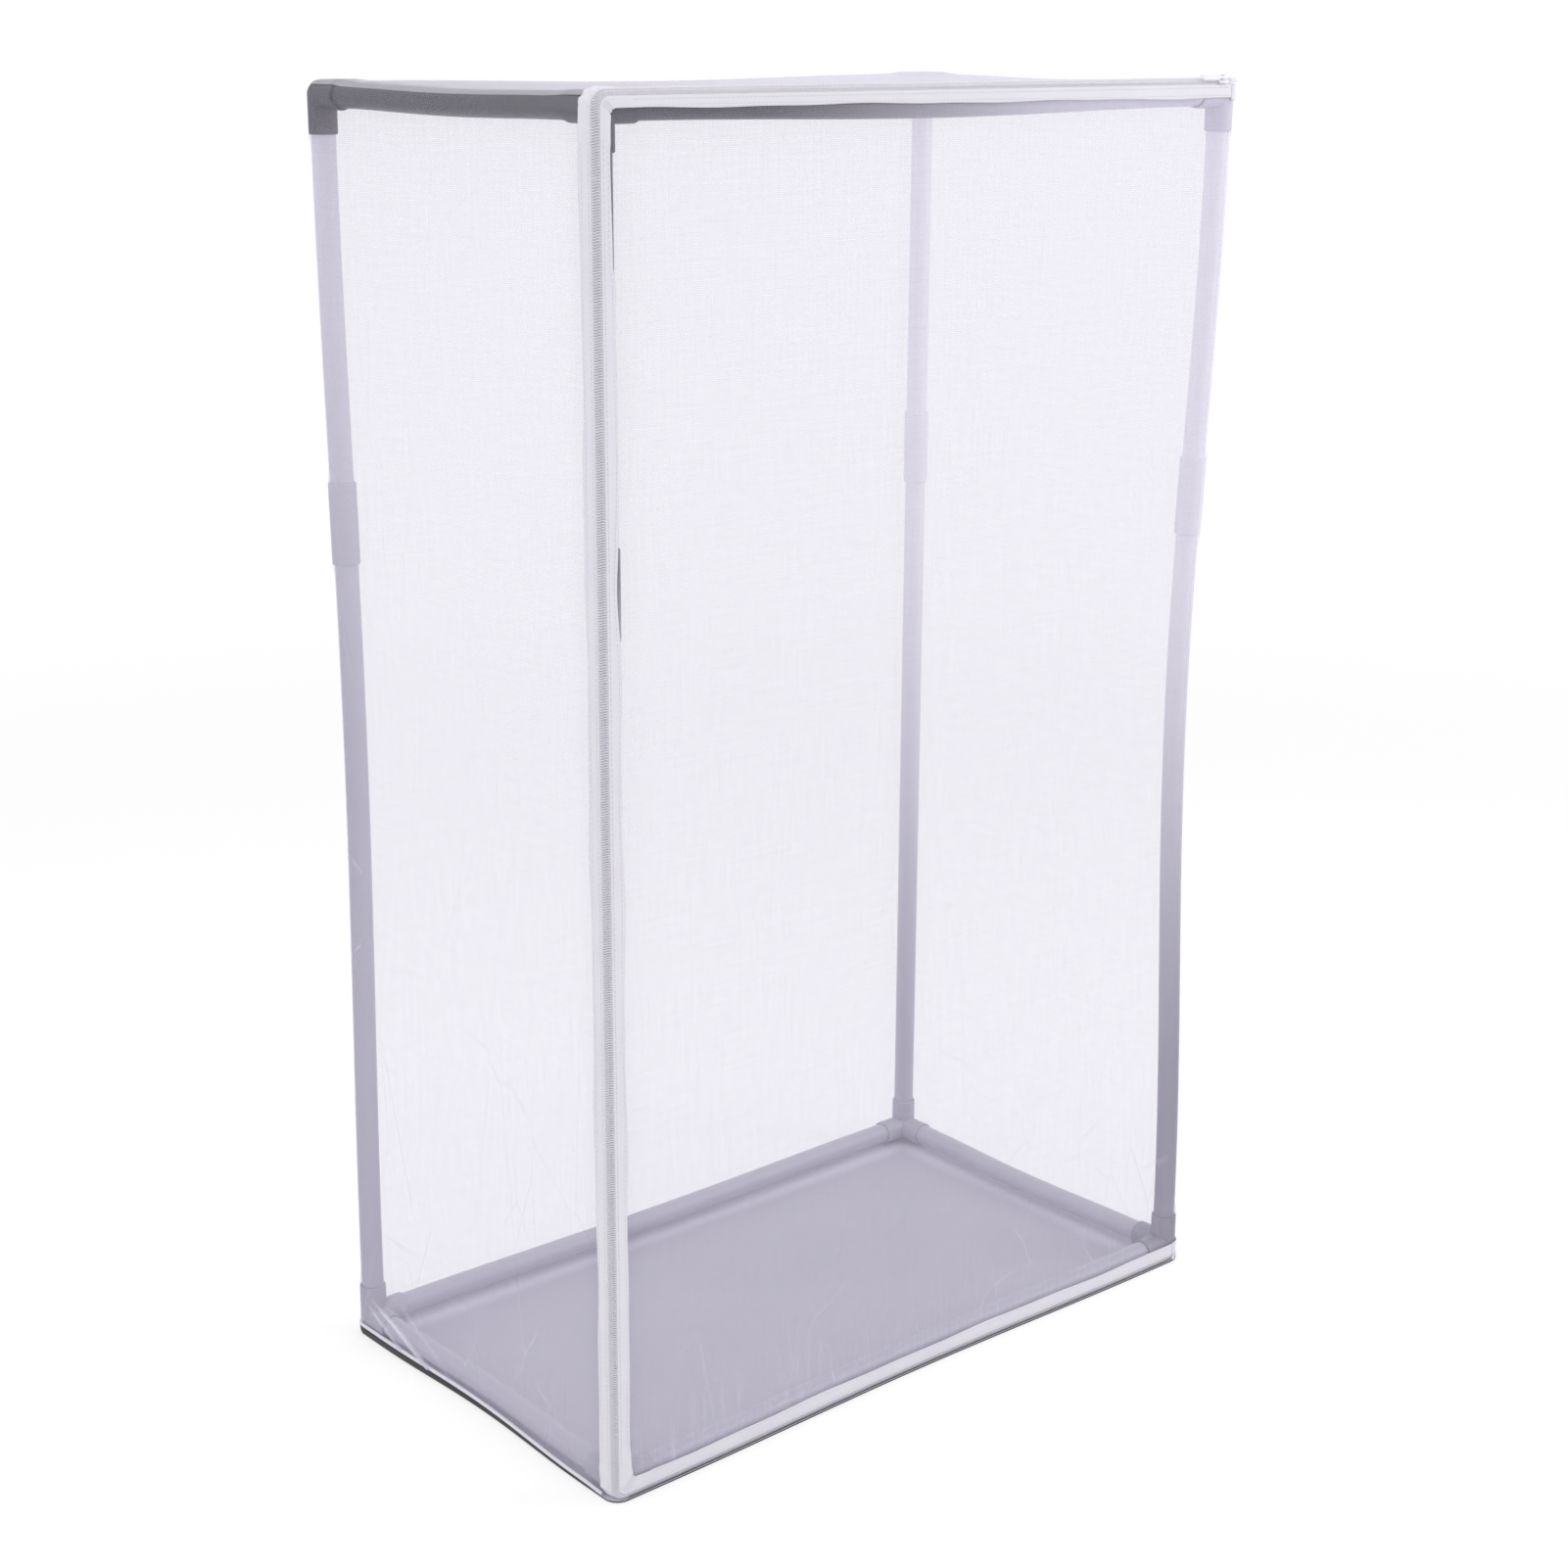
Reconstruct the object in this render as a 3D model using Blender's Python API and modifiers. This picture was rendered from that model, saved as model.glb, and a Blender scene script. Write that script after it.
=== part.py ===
# Insect cage: a fine white mesh cover, closed by a zip, drawn over a frame of plastic tubes.
# Metres, +Z up, standing on Z = 0. X runs along the front, the front face looks towards -Y.
import math

import bmesh
import bpy
from mathutils import Matrix, Vector

# Overall size of the cover
cage_width = 0.560
cage_depth = 0.320
cage_height = 0.900

# Tube frame
tube_diameter = 0.016
tube_wall = 0.0015
sleeve_diameter = 0.019
socket_clearance = 0.0004
sleeve_length = 0.025
socket_floor = 0.0105
ball_turn = math.radians(17)
sleeve_phase = math.radians(7)
coupling_length = 0.056
coupling_drop = 0.2925
coupling_stop = 0.001

# Cover
cloth_thickness = 0.001
base_thickness = 0.0015
piping_radius = 0.001
gap = 0.0003

# Zip
coil_radius = 0.0008
coil_spacing = 0.0029
chain_inset = 0.00185
tape_width = 0.011
tape_end_inset = 0.0025
stop_length = 0.002
stop_breadth = 0.0018

# Slider and pull
slider_length = 0.009
slider_width = 0.007
slider_plate = 0.0012
slider_keeper = 0.0007
keeper_reach = 0.002
web_length = 0.003
web_thickness = 0.0007
slider_rest_back = 0.003
ear_thickness = 0.001
ear_spacing = 0.0026
ear_length = 0.0032
ear_height = 0.0026
pull_pin_radius = 0.0006
pull_thickness = 0.001
pull_length = 0.022
pull_width = 0.0045
pull_neck_width = 0.002
pull_neck_length = 0.0055

# How far the tight cover draws the tubes in half way along them
upright_bow = {
    "front_left": 0.0,
    "front_right": 0.007,
    "back_left": 0.003,
    "back_right": 0.005,
}
base_bow = 0.004
top_sag = 0.003
side_sag_share = 0.5
overrun = 0.001
rounding_share = 0.3
crease_angle = math.radians(40)

# Counts
tube_sides_resolution = 4
fine_sides_resolution = 2
pin_sides = 12
sleeve_sides = 16
upright_steps = 6
upper_steps = 3
rail_steps = 6
sheet_steps = 8
height_steps = 12
turn_steps = 4
base_fade_power = 4

# Sizes that follow from the ones above
weld_distance = gap / 10
coupling_height = cage_height - coupling_drop
half_width = cage_width / 2
half_depth = cage_depth / 2
tube_radius = tube_diameter / 2
sleeve_radius = sleeve_diameter / 2
axis_inset = cloth_thickness + gap + sleeve_radius
base_top = base_thickness + gap
base_axis = base_top + cloth_thickness + gap + sleeve_radius
top_axis = cage_height - axis_inset
sleeve_end = axis_inset + sleeve_length
hinge_x = half_width - axis_inset
coil_shift = coil_spacing / 2 / math.sqrt(2)
near_inset = chain_inset - coil_shift
far_inset = chain_inset + coil_shift
tape_start = far_inset + coil_radius + gap
tape_end = tape_start + tape_width
mesh_start = tape_end + gap
panel_foot = base_top + 2 * piping_radius + gap
panel_top = cage_height - cloth_thickness - gap
coil_end = hinge_x - gap - stop_length - gap
slider_x = coil_end - slider_rest_back - slider_length / 2

parts = bpy.data.collections.new("insect_cage")
cutters = bpy.data.collections.new("cutters")


def clear_scene():
    for thing in list(bpy.data.objects):
        bpy.data.objects.remove(thing, do_unlink=True)
    bpy.context.scene.collection.children.link(parts)
    bpy.context.scene.collection.children.link(cutters)


def plain_material(name, colour, roughness):
    made = bpy.data.materials.new(name)
    made.use_nodes = True
    shader = made.node_tree.nodes["Principled BSDF"]
    shader.inputs["Base Color"].default_value = (*colour, 1)
    shader.inputs["Roughness"].default_value = roughness
    shader.inputs["Metallic"].default_value = 0
    made.diffuse_color = (*colour, 1)
    return made


def clamp(value, low, high):
    return min(max(value, low), high)


# The share of a bow at a place between two ends: none at the ends, whole half way
def bow_share(place, low, high):
    return math.sin(math.pi * clamp((place - low) / (high - low), 0, 1)) ** 2


# Where a point of the square cage comes to lie once the tight cover has drawn the frame in
def drawn_in(x, y, z):
    across = clamp(x / (half_width - 2 * axis_inset), -1, 1)
    along = clamp(y / (half_depth - 2 * axis_inset), -1, 1)
    right = (1 + across) / 2
    back = (1 + along) / 2
    bow = (
        upright_bow["front_left"] * (1 - right) * (1 - back)
        + upright_bow["front_right"] * right * (1 - back)
        + upright_bow["back_left"] * (1 - right) * back
        + upright_bow["back_right"] * right * back
    )
    bow = bow * bow_share(z, sleeve_end, cage_height - sleeve_end)
    wide = bow_share(x, sleeve_end - half_width, half_width - sleeve_end)
    deep = bow_share(y, sleeve_end - half_depth, half_depth - sleeve_end)
    low = clamp(1 - z / cage_height, 0, 1) ** base_fade_power
    high = clamp((2 * z - cage_height) / (cage_height - 4 * axis_inset), 0, 1)
    behind_zip = clamp((y + half_depth - mesh_start) / axis_inset, 0, 1)
    sag = top_sag * high * (wide * behind_zip + side_sag_share * deep)
    return Vector((
        x - across * (bow + base_bow * low * deep),
        y - along * (bow + base_bow * low * wide),
        z - sag,
    ))


# Evenly spaced values from one end to the other, both included
def spaced(start, end, steps):
    return [start + (end - start) * step / steps for step in range(steps + 1)]


def add_object(name, mesh, finish):
    made = bpy.data.objects.new(name, mesh)
    mesh.materials.clear()
    mesh.materials.append(finish)
    parts.objects.link(made)
    return made


def mesh_from(bm, name):
    mesh = bpy.data.meshes.new(name)
    bm.to_mesh(mesh)
    bm.free()
    return mesh


# The mesh that an object's modifiers give, taken as a mesh of its own
def evaluated_mesh(thing):
    graph = bpy.context.evaluated_depsgraph_get()
    return bpy.data.meshes.new_from_object(thing.evaluated_get(graph))


def shade_round(mesh):
    mesh.shade_smooth()
    mesh.set_sharp_from_angle(angle=crease_angle)


# A round bar or a hollow tube along a line of points
def round_run(name, points, radius, wall, finish, resolution=tube_sides_resolution):
    line = bpy.data.curves.new(name, "CURVE")
    line.dimensions = "3D"
    line.bevel_depth = radius
    line.bevel_resolution = resolution
    line.use_fill_caps = wall == 0
    spline = line.splines.new("POLY")
    spline.points.add(len(points) - 1)
    for spot, place in zip(spline.points, points):
        spot.co = (*place, 1)
    guide = bpy.data.objects.new(name, line)
    cutters.objects.link(guide)
    mesh = evaluated_mesh(guide)
    bpy.data.objects.remove(guide)
    bpy.data.curves.remove(line)
    bm = bmesh.new()
    bm.from_mesh(mesh)
    bmesh.ops.remove_doubles(bm, verts=bm.verts, dist=weld_distance)
    bmesh.ops.recalc_face_normals(bm, faces=bm.faces)
    bm.to_mesh(mesh)
    bm.free()
    shade_round(mesh)
    made = add_object(name, mesh, finish)
    if wall:
        hollow = made.modifiers.new("Wall", "SOLIDIFY")
        hollow.thickness = wall
        hollow.offset = -1
        hollow.use_even_offset = True
    return made


# An open sheet of cloth with its outer side out, given its thickness inwards
def cloth(name, bm, thickness, finish):
    bmesh.ops.remove_doubles(bm, verts=bm.verts, dist=weld_distance)
    centre = Vector((0, 0, cage_height / 2))
    bm.normal_update()
    facing = sum((face.calc_center_median() - centre).dot(face.normal) for face in bm.faces)
    if facing < 0:
        bmesh.ops.reverse_faces(bm, faces=bm.faces)
    mesh = mesh_from(bm, name)
    mesh.shade_smooth()
    made = add_object(name, mesh, finish)
    body = made.modifiers.new("Cloth", "SOLIDIFY")
    body.thickness = thickness
    body.offset = -1
    body.use_even_offset = True
    return made


# A grid whose columns and rows are placed by a function, less the cells that it leaves out
def grid(columns, rows, place, left_out=None):
    bm = bmesh.new()
    across = len(columns) - 1
    up = len(rows) - 1
    bmesh.ops.create_grid(bm, x_segments=across, y_segments=up, size=1)
    cells = []
    for face in bm.faces:
        middle = face.calc_center_median()
        column = int((middle.x + 1) / 2 * across)
        row = int((middle.y + 1) / 2 * up)
        if left_out and left_out(columns[column], columns[column + 1], rows[row], rows[row + 1]):
            cells.append(face)
    for spot in bm.verts:
        column = round((spot.co.x + 1) / 2 * across)
        row = round((spot.co.y + 1) / 2 * up)
        spot.co = place(columns[column], rows[row])
    bmesh.ops.delete(bm, geom=cells, context="FACES")
    return bm


# A strip between two lines of points that run side by side
def strip(first, second):
    bm = bmesh.new()
    ends = [bm.verts.new(place) for place in first]
    edges = [bm.edges.new(pair) for pair in zip(ends, ends[1:])]
    grown = bmesh.ops.extrude_edge_only(bm, edges=edges)["geom"]
    moved = [item for item in grown if isinstance(item, bmesh.types.BMVert)]
    twin = {}
    for vert in moved:
        twin[min(range(len(first)), key=lambda i: (Vector(first[i]) - vert.co).length)] = vert
    for index, vert in twin.items():
        vert.co = second[index]
    return bm


# Plan of the side cloth: along the left side, round the back and up the right side.
# The distance is counted along the outside from the front left, and bends round each corner.
def wall_place(side, distance):
    turn = axis_inset * math.pi / 2
    run = cage_depth - axis_inset
    beyond = distance - run
    if beyond <= 0:
        x, y = half_width, distance - half_depth
    else:
        angle = clamp(beyond / turn, 0, 1) * math.pi / 2
        x = half_width - axis_inset + axis_inset * math.cos(angle)
        y = half_depth - axis_inset + axis_inset * math.sin(angle)
    return side * x, y


# The front right corner, from the hinge line at 0 to the right side at 1
def corner_place(share):
    angle = share * math.pi / 2
    x = hinge_x + axis_inset * math.sin(angle)
    y = axis_inset - half_depth - axis_inset * math.cos(angle)
    return x, y


# A corner's centre and the three ways into the cage from it
def corner_at(side, face, level):
    z = base_axis if level < 0 else top_axis
    return Vector((side * (half_width - axis_inset), face * (half_depth - axis_inset), z))


# A cylinder that starts this far out from a corner's centre, along +X, +Y or +Z by its number
def corner_rod(number, radius, start, length):
    turn = ((math.pi / 2, "Y"), (-math.pi / 2, "X"), (0, "Z"))[number]
    bpy.ops.mesh.primitive_cylinder_add(vertices=sleeve_sides, radius=radius, depth=length)
    rod = bpy.context.object
    rod.data.transform(Matrix.Rotation(number * sleeve_phase, 4, "Z"))
    rod.data.transform(Matrix.Translation((0, 0, start + length / 2)))
    rod.data.transform(Matrix.Rotation(turn[0], 4, turn[1]))
    return rod


def add_boolean(body, tool, operation):
    change = body.modifiers.new(operation.title(), "BOOLEAN")
    change.operation = operation
    change.object = tool
    return tool


# The three-way corner fitting with its sleeves along +X, +Y and +Z
def corner_mesh():
    bpy.ops.mesh.primitive_uv_sphere_add(
        segments=sleeve_sides, ring_count=sleeve_sides // 2, radius=sleeve_radius,
    )
    body = bpy.context.object
    body.data.transform(Matrix.Rotation(ball_turn, 4, Vector((1, 1, 1))))
    spare = []
    for number in range(3):
        sleeve = corner_rod(number, sleeve_radius, gap, sleeve_length - gap)
        spare.append(add_boolean(body, sleeve, "UNION"))
    depth = sleeve_length - socket_floor + overrun
    for number in range(3):
        bore = corner_rod(number, tube_radius + socket_clearance, socket_floor, depth)
        spare.append(add_boolean(body, bore, "DIFFERENCE"))
    mesh = evaluated_mesh(body)
    for thing in spare + [body]:
        bpy.data.objects.remove(thing)
    return mesh


def add_corners(finish):
    pattern = corner_mesh()
    for level, level_name in ((-1, "base"), (1, "top")):
        for face, face_name in ((-1, "front"), (1, "back")):
            for side, side_name in ((-1, "left"), (1, "right")):
                mesh = pattern.copy()
                mesh.transform(Matrix.Diagonal((-side, -face, -level, 1)))
                if side * face * level > 0:
                    mesh.flip_normals()
                shade_round(mesh)
                name = f"corner_{level_name}_{face_name}_{side_name}"
                made = add_object(name, mesh, finish)
                made.location = corner_at(side, face, level)
    bpy.data.meshes.remove(pattern)


# One upright: two tubes that meet in a straight coupling
def add_upright(side, face, name, tube_finish, fitting_finish):
    x = side * (half_width - axis_inset)
    y = face * (half_depth - axis_inset)
    low_z = coupling_height - coupling_length / 2
    high_z = coupling_height + coupling_length / 2
    low = drawn_in(x, y, low_z)
    high = drawn_in(x, y, high_z)
    middle = (low + high) / 2
    half_stop = (high - low).normalized() * coupling_stop / 2
    foot = base_axis + socket_floor + gap
    head = top_axis - socket_floor - gap
    lower = [drawn_in(x, y, foot)]
    lower += [drawn_in(x, y, z) for z in spaced(sleeve_end, low_z, upright_steps)]
    lower.append(middle - half_stop)
    upper = [middle + half_stop]
    upper += [drawn_in(x, y, z) for z in spaced(high_z, cage_height - sleeve_end, upper_steps)]
    upper.append(drawn_in(x, y, head))
    round_run(f"upright_{name}_lower", lower, tube_radius, tube_wall, tube_finish)
    round_run(f"upright_{name}_upper", upper, tube_radius, tube_wall, tube_finish)
    wall = sleeve_radius - tube_radius - socket_clearance
    round_run(f"coupling_{name}", [low, high], sleeve_radius, wall, fitting_finish)


# A rail between two corners, at the base or at the top
def rail_points(start, end, sag_share):
    points = []
    way = (end - start).normalized()
    first = start + way * (socket_floor + gap)
    last = end - way * (socket_floor + gap)
    free_first = start + way * sleeve_length
    free_last = end - way * sleeve_length
    places = [first]
    places += [free_first.lerp(free_last, step / rail_steps) for step in range(rail_steps + 1)]
    places.append(last)
    for place in places:
        share = bow_share((place - start).length, sleeve_length, (end - start).length - sleeve_length)
        if start.z < cage_height / 2:
            points.append(drawn_in(*place))
        else:
            points.append(place - Vector((0, 0, top_sag * sag_share * share)))
    return points


def add_rails(finish):
    for level, level_name in ((-1, "base"), (1, "top")):
        for face, name in ((-1, "front"), (1, "back")):
            points = rail_points(corner_at(-1, face, level), corner_at(1, face, level), 1)
            round_run(f"{level_name}_rail_{name}", points, tube_radius, tube_wall, finish)
        for side, name in ((-1, "left"), (1, "right")):
            ends = corner_at(side, -1, level), corner_at(side, 1, level)
            points = rail_points(*ends, side_sag_share)
            round_run(f"{level_name}_rail_{name}", points, tube_radius, tube_wall, finish)


# A flat sheet whose corners are rounded to the cover's corners, but for the zip's corner
def rounded(x, y):
    centre_x = math.copysign(half_width - axis_inset, x)
    centre_y = math.copysign(half_depth - axis_inset, y)
    out = Vector((x - centre_x, y - centre_y))
    outside = out.x * x > 0 and out.y * y > 0
    if outside and out.length > axis_inset and not (x < 0 and y < 0):
        out = out.normalized() * axis_inset
    return centre_x + out.x, centre_y + out.y


# Places across a flat sheet, closer together at its rounded ends
def across_sheet(low, high, rounded_low, rounded_high, steps):
    inner_low = low + axis_inset if rounded_low else low
    inner_high = high - axis_inset if rounded_high else high
    places = spaced(inner_low, inner_high, steps)
    if rounded_low:
        places = [low, low + axis_inset * rounding_share] + places
    if rounded_high:
        places = places + [high - axis_inset * rounding_share, high]
    return places


def add_base(cloth_finish, piping_finish):
    columns = across_sheet(-half_width, half_width, True, True, sheet_steps)
    rows = across_sheet(-half_depth, half_depth, True, True, sheet_steps)
    # The cloth's underside is the outer side, so it lies flat on Z = 0 and thickens upwards
    def place(x, y):
        x, y = rounded(x, y)
        spot = drawn_in(x, y, 0)
        return Vector((spot.x, spot.y, 0))
    cloth("base_cloth", grid(columns, rows, place), base_thickness, cloth_finish)

    # The piping goes round the left side, the back and the right side, above the cloth's edge
    turn = axis_inset - piping_radius
    edge_x = half_width - axis_inset
    edge_y = half_depth - axis_inset
    angles = spaced(0, math.pi / 2, turn_steps)[1:-1]
    arc = [(edge_x + turn * math.cos(angle), edge_y + turn * math.sin(angle)) for angle in angles]
    side_points = spaced(mesh_start - half_depth, edge_y, sheet_steps)
    points = [(piping_radius - half_width, y) for y in side_points]
    points += [(-x, y) for x, y in arc]
    points += [(x, half_depth - piping_radius) for x in spaced(-edge_x, edge_x, sheet_steps)]
    points += arc[::-1]
    points += [(half_width - piping_radius, y) for y in side_points[::-1]]
    line = [drawn_in(x, y, base_top + piping_radius) for x, y in points]
    round_run("base_piping", line, piping_radius, 0, piping_finish, fine_sides_resolution)


# The left and right walls, each carried round its back corner
def add_walls(finish):
    turn = axis_inset * math.pi / 2
    run = cage_depth - axis_inset
    rows = spaced(panel_foot, panel_top, height_steps)
    bend = [run + turn * step / turn_steps for step in range(1, turn_steps + 1)]
    left = spaced(mesh_start, run, sheet_steps) + bend

    def left_place(distance, z):
        return drawn_in(*wall_place(-1, distance), z)
    cloth("mesh_left", grid(left, rows, left_place), cloth_thickness, finish)

    # The right wall also goes round the front corner, between the two ends of the zip
    corner_start = axis_inset - turn
    corner = spaced(corner_start, axis_inset, turn_steps)[:-1]
    right = corner + spaced(axis_inset, run, sheet_steps) + bend
    zip_low = base_top + mesh_start
    zip_high = cage_height - mesh_start
    right_rows = [panel_foot] + spaced(zip_low, zip_high, height_steps) + [panel_top]

    def right_place(distance, z):
        if distance < axis_inset:
            return drawn_in(*corner_place((distance - corner_start) / turn), z)
        return drawn_in(*wall_place(1, distance), z)

    def zip_end(first, second, low, high):
        at_corner = first < axis_inset - weld_distance
        return at_corner and (high <= zip_low + gap or low >= zip_high - gap)
    cloth("mesh_right", grid(right, right_rows, right_place, zip_end), cloth_thickness, finish)

    reach = half_width - axis_inset - gap

    def back_place(x, z):
        return drawn_in(x, half_depth, z)
    back = grid(spaced(-reach, reach, sheet_steps), rows, back_place)
    cloth("mesh_back", back, cloth_thickness, finish)


def add_top(finish):
    columns = across_sheet(-half_width, half_width, True, True, sheet_steps)
    rows = across_sheet(mesh_start - half_depth, half_depth, False, True, sheet_steps)

    def place(x, y):
        if y > 0:
            x, y = rounded(x, y)
        return drawn_in(x, y, cage_height)
    cloth("mesh_top", grid(columns, rows, place), cloth_thickness, finish)


# The zip's line: along the bottom from the right, up the left edge and back along the top.
# The inset is counted from the outline of the front, and the depth from the front face.
def zip_line(inset, depth, end):
    centre = max(axis_inset, inset)
    turn = centre - inset
    left = -half_width + centre
    low = base_top + centre
    high = cage_height - centre
    flat = [(x, low - turn) for x in spaced(end, left, sheet_steps)]
    flat += [
        (left - turn * math.sin(angle), low - turn * math.cos(angle))
        for angle in spaced(0, math.pi / 2, turn_steps)[1:-1]
    ]
    flat += [(left - turn, z) for z in spaced(low, high, height_steps)]
    flat += [
        (left - turn * math.cos(angle), high + turn * math.sin(angle))
        for angle in spaced(0, math.pi / 2, turn_steps)[1:-1]
    ]
    flat += [(x, high + turn) for x in spaced(left, end, sheet_steps)]
    return [drawn_in(x, depth - half_depth, z) for x, z in flat]


def add_zip(tape_finish, coil_finish):
    frame_end = half_width - tape_end_inset
    first = zip_line(0, tape_start, frame_end)
    second = zip_line(0, tape_end, frame_end)
    cloth("zip_tape_frame", strip(first, second), cloth_thickness, tape_finish)

    door_end = hinge_x - gap
    first = zip_line(tape_start, 0, door_end)
    second = zip_line(tape_end, 0, door_end)
    cloth("zip_tape_door", strip(first, second), cloth_thickness, tape_finish)

    frame_coil_end = hinge_x + gap
    frame_line = zip_line(near_inset, far_inset, frame_coil_end)
    door_line = zip_line(far_inset, near_inset, coil_end)
    round_run("zip_coil_frame", frame_line, coil_radius, 0, coil_finish, fine_sides_resolution)
    round_run("zip_coil_door", door_line, coil_radius, 0, coil_finish, fine_sides_resolution)

    for name, low, high in (
        ("zip_tape_end_top", cage_height - tape_end, cage_height - tape_start),
        ("zip_tape_end_base", base_top + tape_start, base_top + tape_end),
    ):
        shares = spaced(0, 1 - gap / axis_inset, turn_steps)
        first = [drawn_in(*corner_place(share), low) for share in shares]
        second = [drawn_in(*corner_place(share), high) for share in shares]
        cloth(name, strip(first, second), cloth_thickness, tape_finish)


# A box between two corners
def box_mesh(name, low, high):
    bm = bmesh.new()
    bmesh.ops.create_cube(bm, size=1)
    size = Vector(high) - Vector(low)
    bmesh.ops.scale(bm, verts=bm.verts, vec=size)
    bmesh.ops.translate(bm, verts=bm.verts, vec=(Vector(high) + Vector(low)) / 2)
    return mesh_from(bm, name)


def add_stops(finish):
    near_y = near_inset - half_depth
    far_y = far_inset - half_depth
    near_top = cage_height - near_inset
    far_top = cage_height - far_inset
    door_x = coil_end + gap
    frame_x = hinge_x + 2 * gap
    # Each stop's name, then where it starts and the spread of its coils' centres
    stops = (
        ("zip_stop_door", door_x, (near_y, far_top), (near_y, far_top)),
        ("zip_stop_frame", frame_x, (far_y, near_top), (far_y, near_top)),
        ("zip_stop_base", frame_x, (near_y, base_top + near_inset), (far_y, base_top + far_inset)),
    )
    half = stop_breadth / 2
    for name, x, low, high in stops:
        first = (x, low[0] - half, low[1] - half)
        last = (x + stop_length, high[0] + half, high[1] + half)
        add_object(name, box_mesh(name, first, last), finish)


def add_door_mesh(finish):
    columns = spaced(mesh_start - half_width, hinge_x - gap, sheet_steps)
    rows = spaced(base_top + mesh_start, cage_height - mesh_start, height_steps)

    def place(x, z):
        return drawn_in(x, -half_depth, z)
    cloth("door_mesh", grid(columns, rows, place), cloth_thickness, finish)


# The slider lies across the edge at 45 degrees: X along the zip, Y across it, Z outwards
def zip_frame(place_x, height):
    at = Vector((place_x, chain_inset - half_depth, cage_height - chain_inset))
    turned = Matrix.Rotation(math.pi / 4, 4, "X")
    return Matrix.Translation(at) @ turned @ Matrix.Translation((0, 0, height))


def join_boxes(name, boxes, pins, cuts):
    body = None
    spare = []
    for low, high in boxes:
        block = bpy.data.objects.new(name, box_mesh(name, low, high))
        cutters.objects.link(block)
        if body is None:
            body = block
            continue
        spare.append(add_boolean(body, block, "UNION"))
    for operation, rods in (("UNION", pins), ("DIFFERENCE", cuts)):
        for radius, length, height in rods:
            bpy.ops.mesh.primitive_cylinder_add(vertices=pin_sides, radius=radius, depth=length)
            rod = bpy.context.object
            rod.data.transform(Matrix.Rotation(math.pi / 2, 4, "X"))
            rod.data.transform(Matrix.Translation((0, 0, height)))
            spare.append(add_boolean(body, rod, operation))
    mesh = evaluated_mesh(body)
    for thing in spare + [body]:
        bpy.data.objects.remove(thing)
    return mesh


def add_slider(finish):
    plate_low = coil_radius + gap
    plate_high = plate_low + slider_plate
    plate_mid = plate_low + slider_plate / 2
    keeper_low = -plate_low - slider_keeper
    keeper_mid = -plate_low - slider_keeper / 2
    pivot = plate_high + ear_height / 2
    half_long = slider_length / 2
    half_wide = slider_width / 2
    half_web = web_thickness / 2
    ear_in = ear_spacing / 2
    ear_out = ear_in + ear_thickness
    # The plate outside the coils, the web between them, and the keeper behind the door's coil
    boxes = [
        ((-half_long, -half_wide, plate_low), (half_long, half_wide, plate_high)),
        ((-web_length / 2, -half_web, keeper_mid), (web_length / 2, half_web, plate_mid)),
        ((-half_long, -keeper_reach, keeper_low), (half_long, half_web, -plate_low)),
    ]
    for side in (-1, 1):
        low_y, high_y = sorted((side * ear_in, side * ear_out))
        boxes.append((
            (-ear_length / 2, low_y, plate_mid),
            (ear_length / 2, high_y, plate_high + ear_height),
        ))
    hole = (pull_pin_radius + gap, 2 * ear_out + 2 * overrun, pivot)
    mesh = join_boxes("zip_slider", boxes, [], [hole])
    slider = add_object("zip_slider", mesh, finish)
    slider.matrix_world = zip_frame(slider_x, 0)

    half_neck = pull_neck_width / 2
    half_pull = pull_width / 2
    half_thick = pull_thickness / 2
    neck_end = -pull_neck_length - half_thick
    boxes = [
        ((neck_end, -half_neck, -half_thick), (half_thick, half_neck, half_thick)),
        ((-pull_length, -half_pull, -half_thick), (-pull_neck_length, half_pull, half_thick)),
    ]
    pin = (pull_pin_radius, 2 * ear_out, 0)
    mesh = join_boxes("zip_pull", boxes, [pin], [])
    pull = add_object("zip_pull", mesh, finish)
    pull.matrix_world = zip_frame(slider_x, pivot)


# Hang pieces from another object and leave them where they are
def hang(holder, names):
    bpy.context.view_layer.update()
    for name in names:
        piece = bpy.data.objects[name]
        piece.parent = holder
        piece.matrix_parent_inverse = holder.matrix_world.inverted()


# The door's pieces hang from an empty on the line that the door turns about
def hang_door():
    hinge = bpy.data.objects.new("door_hinge", None)
    hinge.location = (hinge_x, -half_depth, cage_height / 2)
    parts.objects.link(hinge)
    hang(hinge, ("door_mesh", "zip_tape_door", "zip_coil_door", "zip_stop_door", "zip_slider"))
    hang(bpy.data.objects["zip_slider"], ("zip_pull",))


def main():
    clear_scene()
    tube_grey = plain_material("tube_plastic", (0.10, 0.095, 0.11), 0.45)
    fitting_grey = plain_material("fitting_plastic", (0.075, 0.07, 0.085), 0.5)
    mesh_white = plain_material("fine_mesh", (0.86, 0.86, 0.92), 0.8)
    tape_white = plain_material("zip_tape", (0.80, 0.79, 0.86), 0.75)
    nylon_white = plain_material("zip_nylon", (0.82, 0.81, 0.88), 0.4)
    base_black = plain_material("base_cloth", (0.012, 0.011, 0.013), 0.7)

    add_corners(fitting_grey)
    for face, face_name in ((-1, "front"), (1, "back")):
        for side, side_name in ((-1, "left"), (1, "right")):
            add_upright(side, face, f"{face_name}_{side_name}", tube_grey, fitting_grey)
    add_rails(tube_grey)
    add_base(base_black, tape_white)
    add_walls(mesh_white)
    add_top(mesh_white)
    add_zip(tape_white, nylon_white)
    add_stops(nylon_white)
    add_door_mesh(mesh_white)
    add_slider(nylon_white)
    hang_door()


main()
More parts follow.
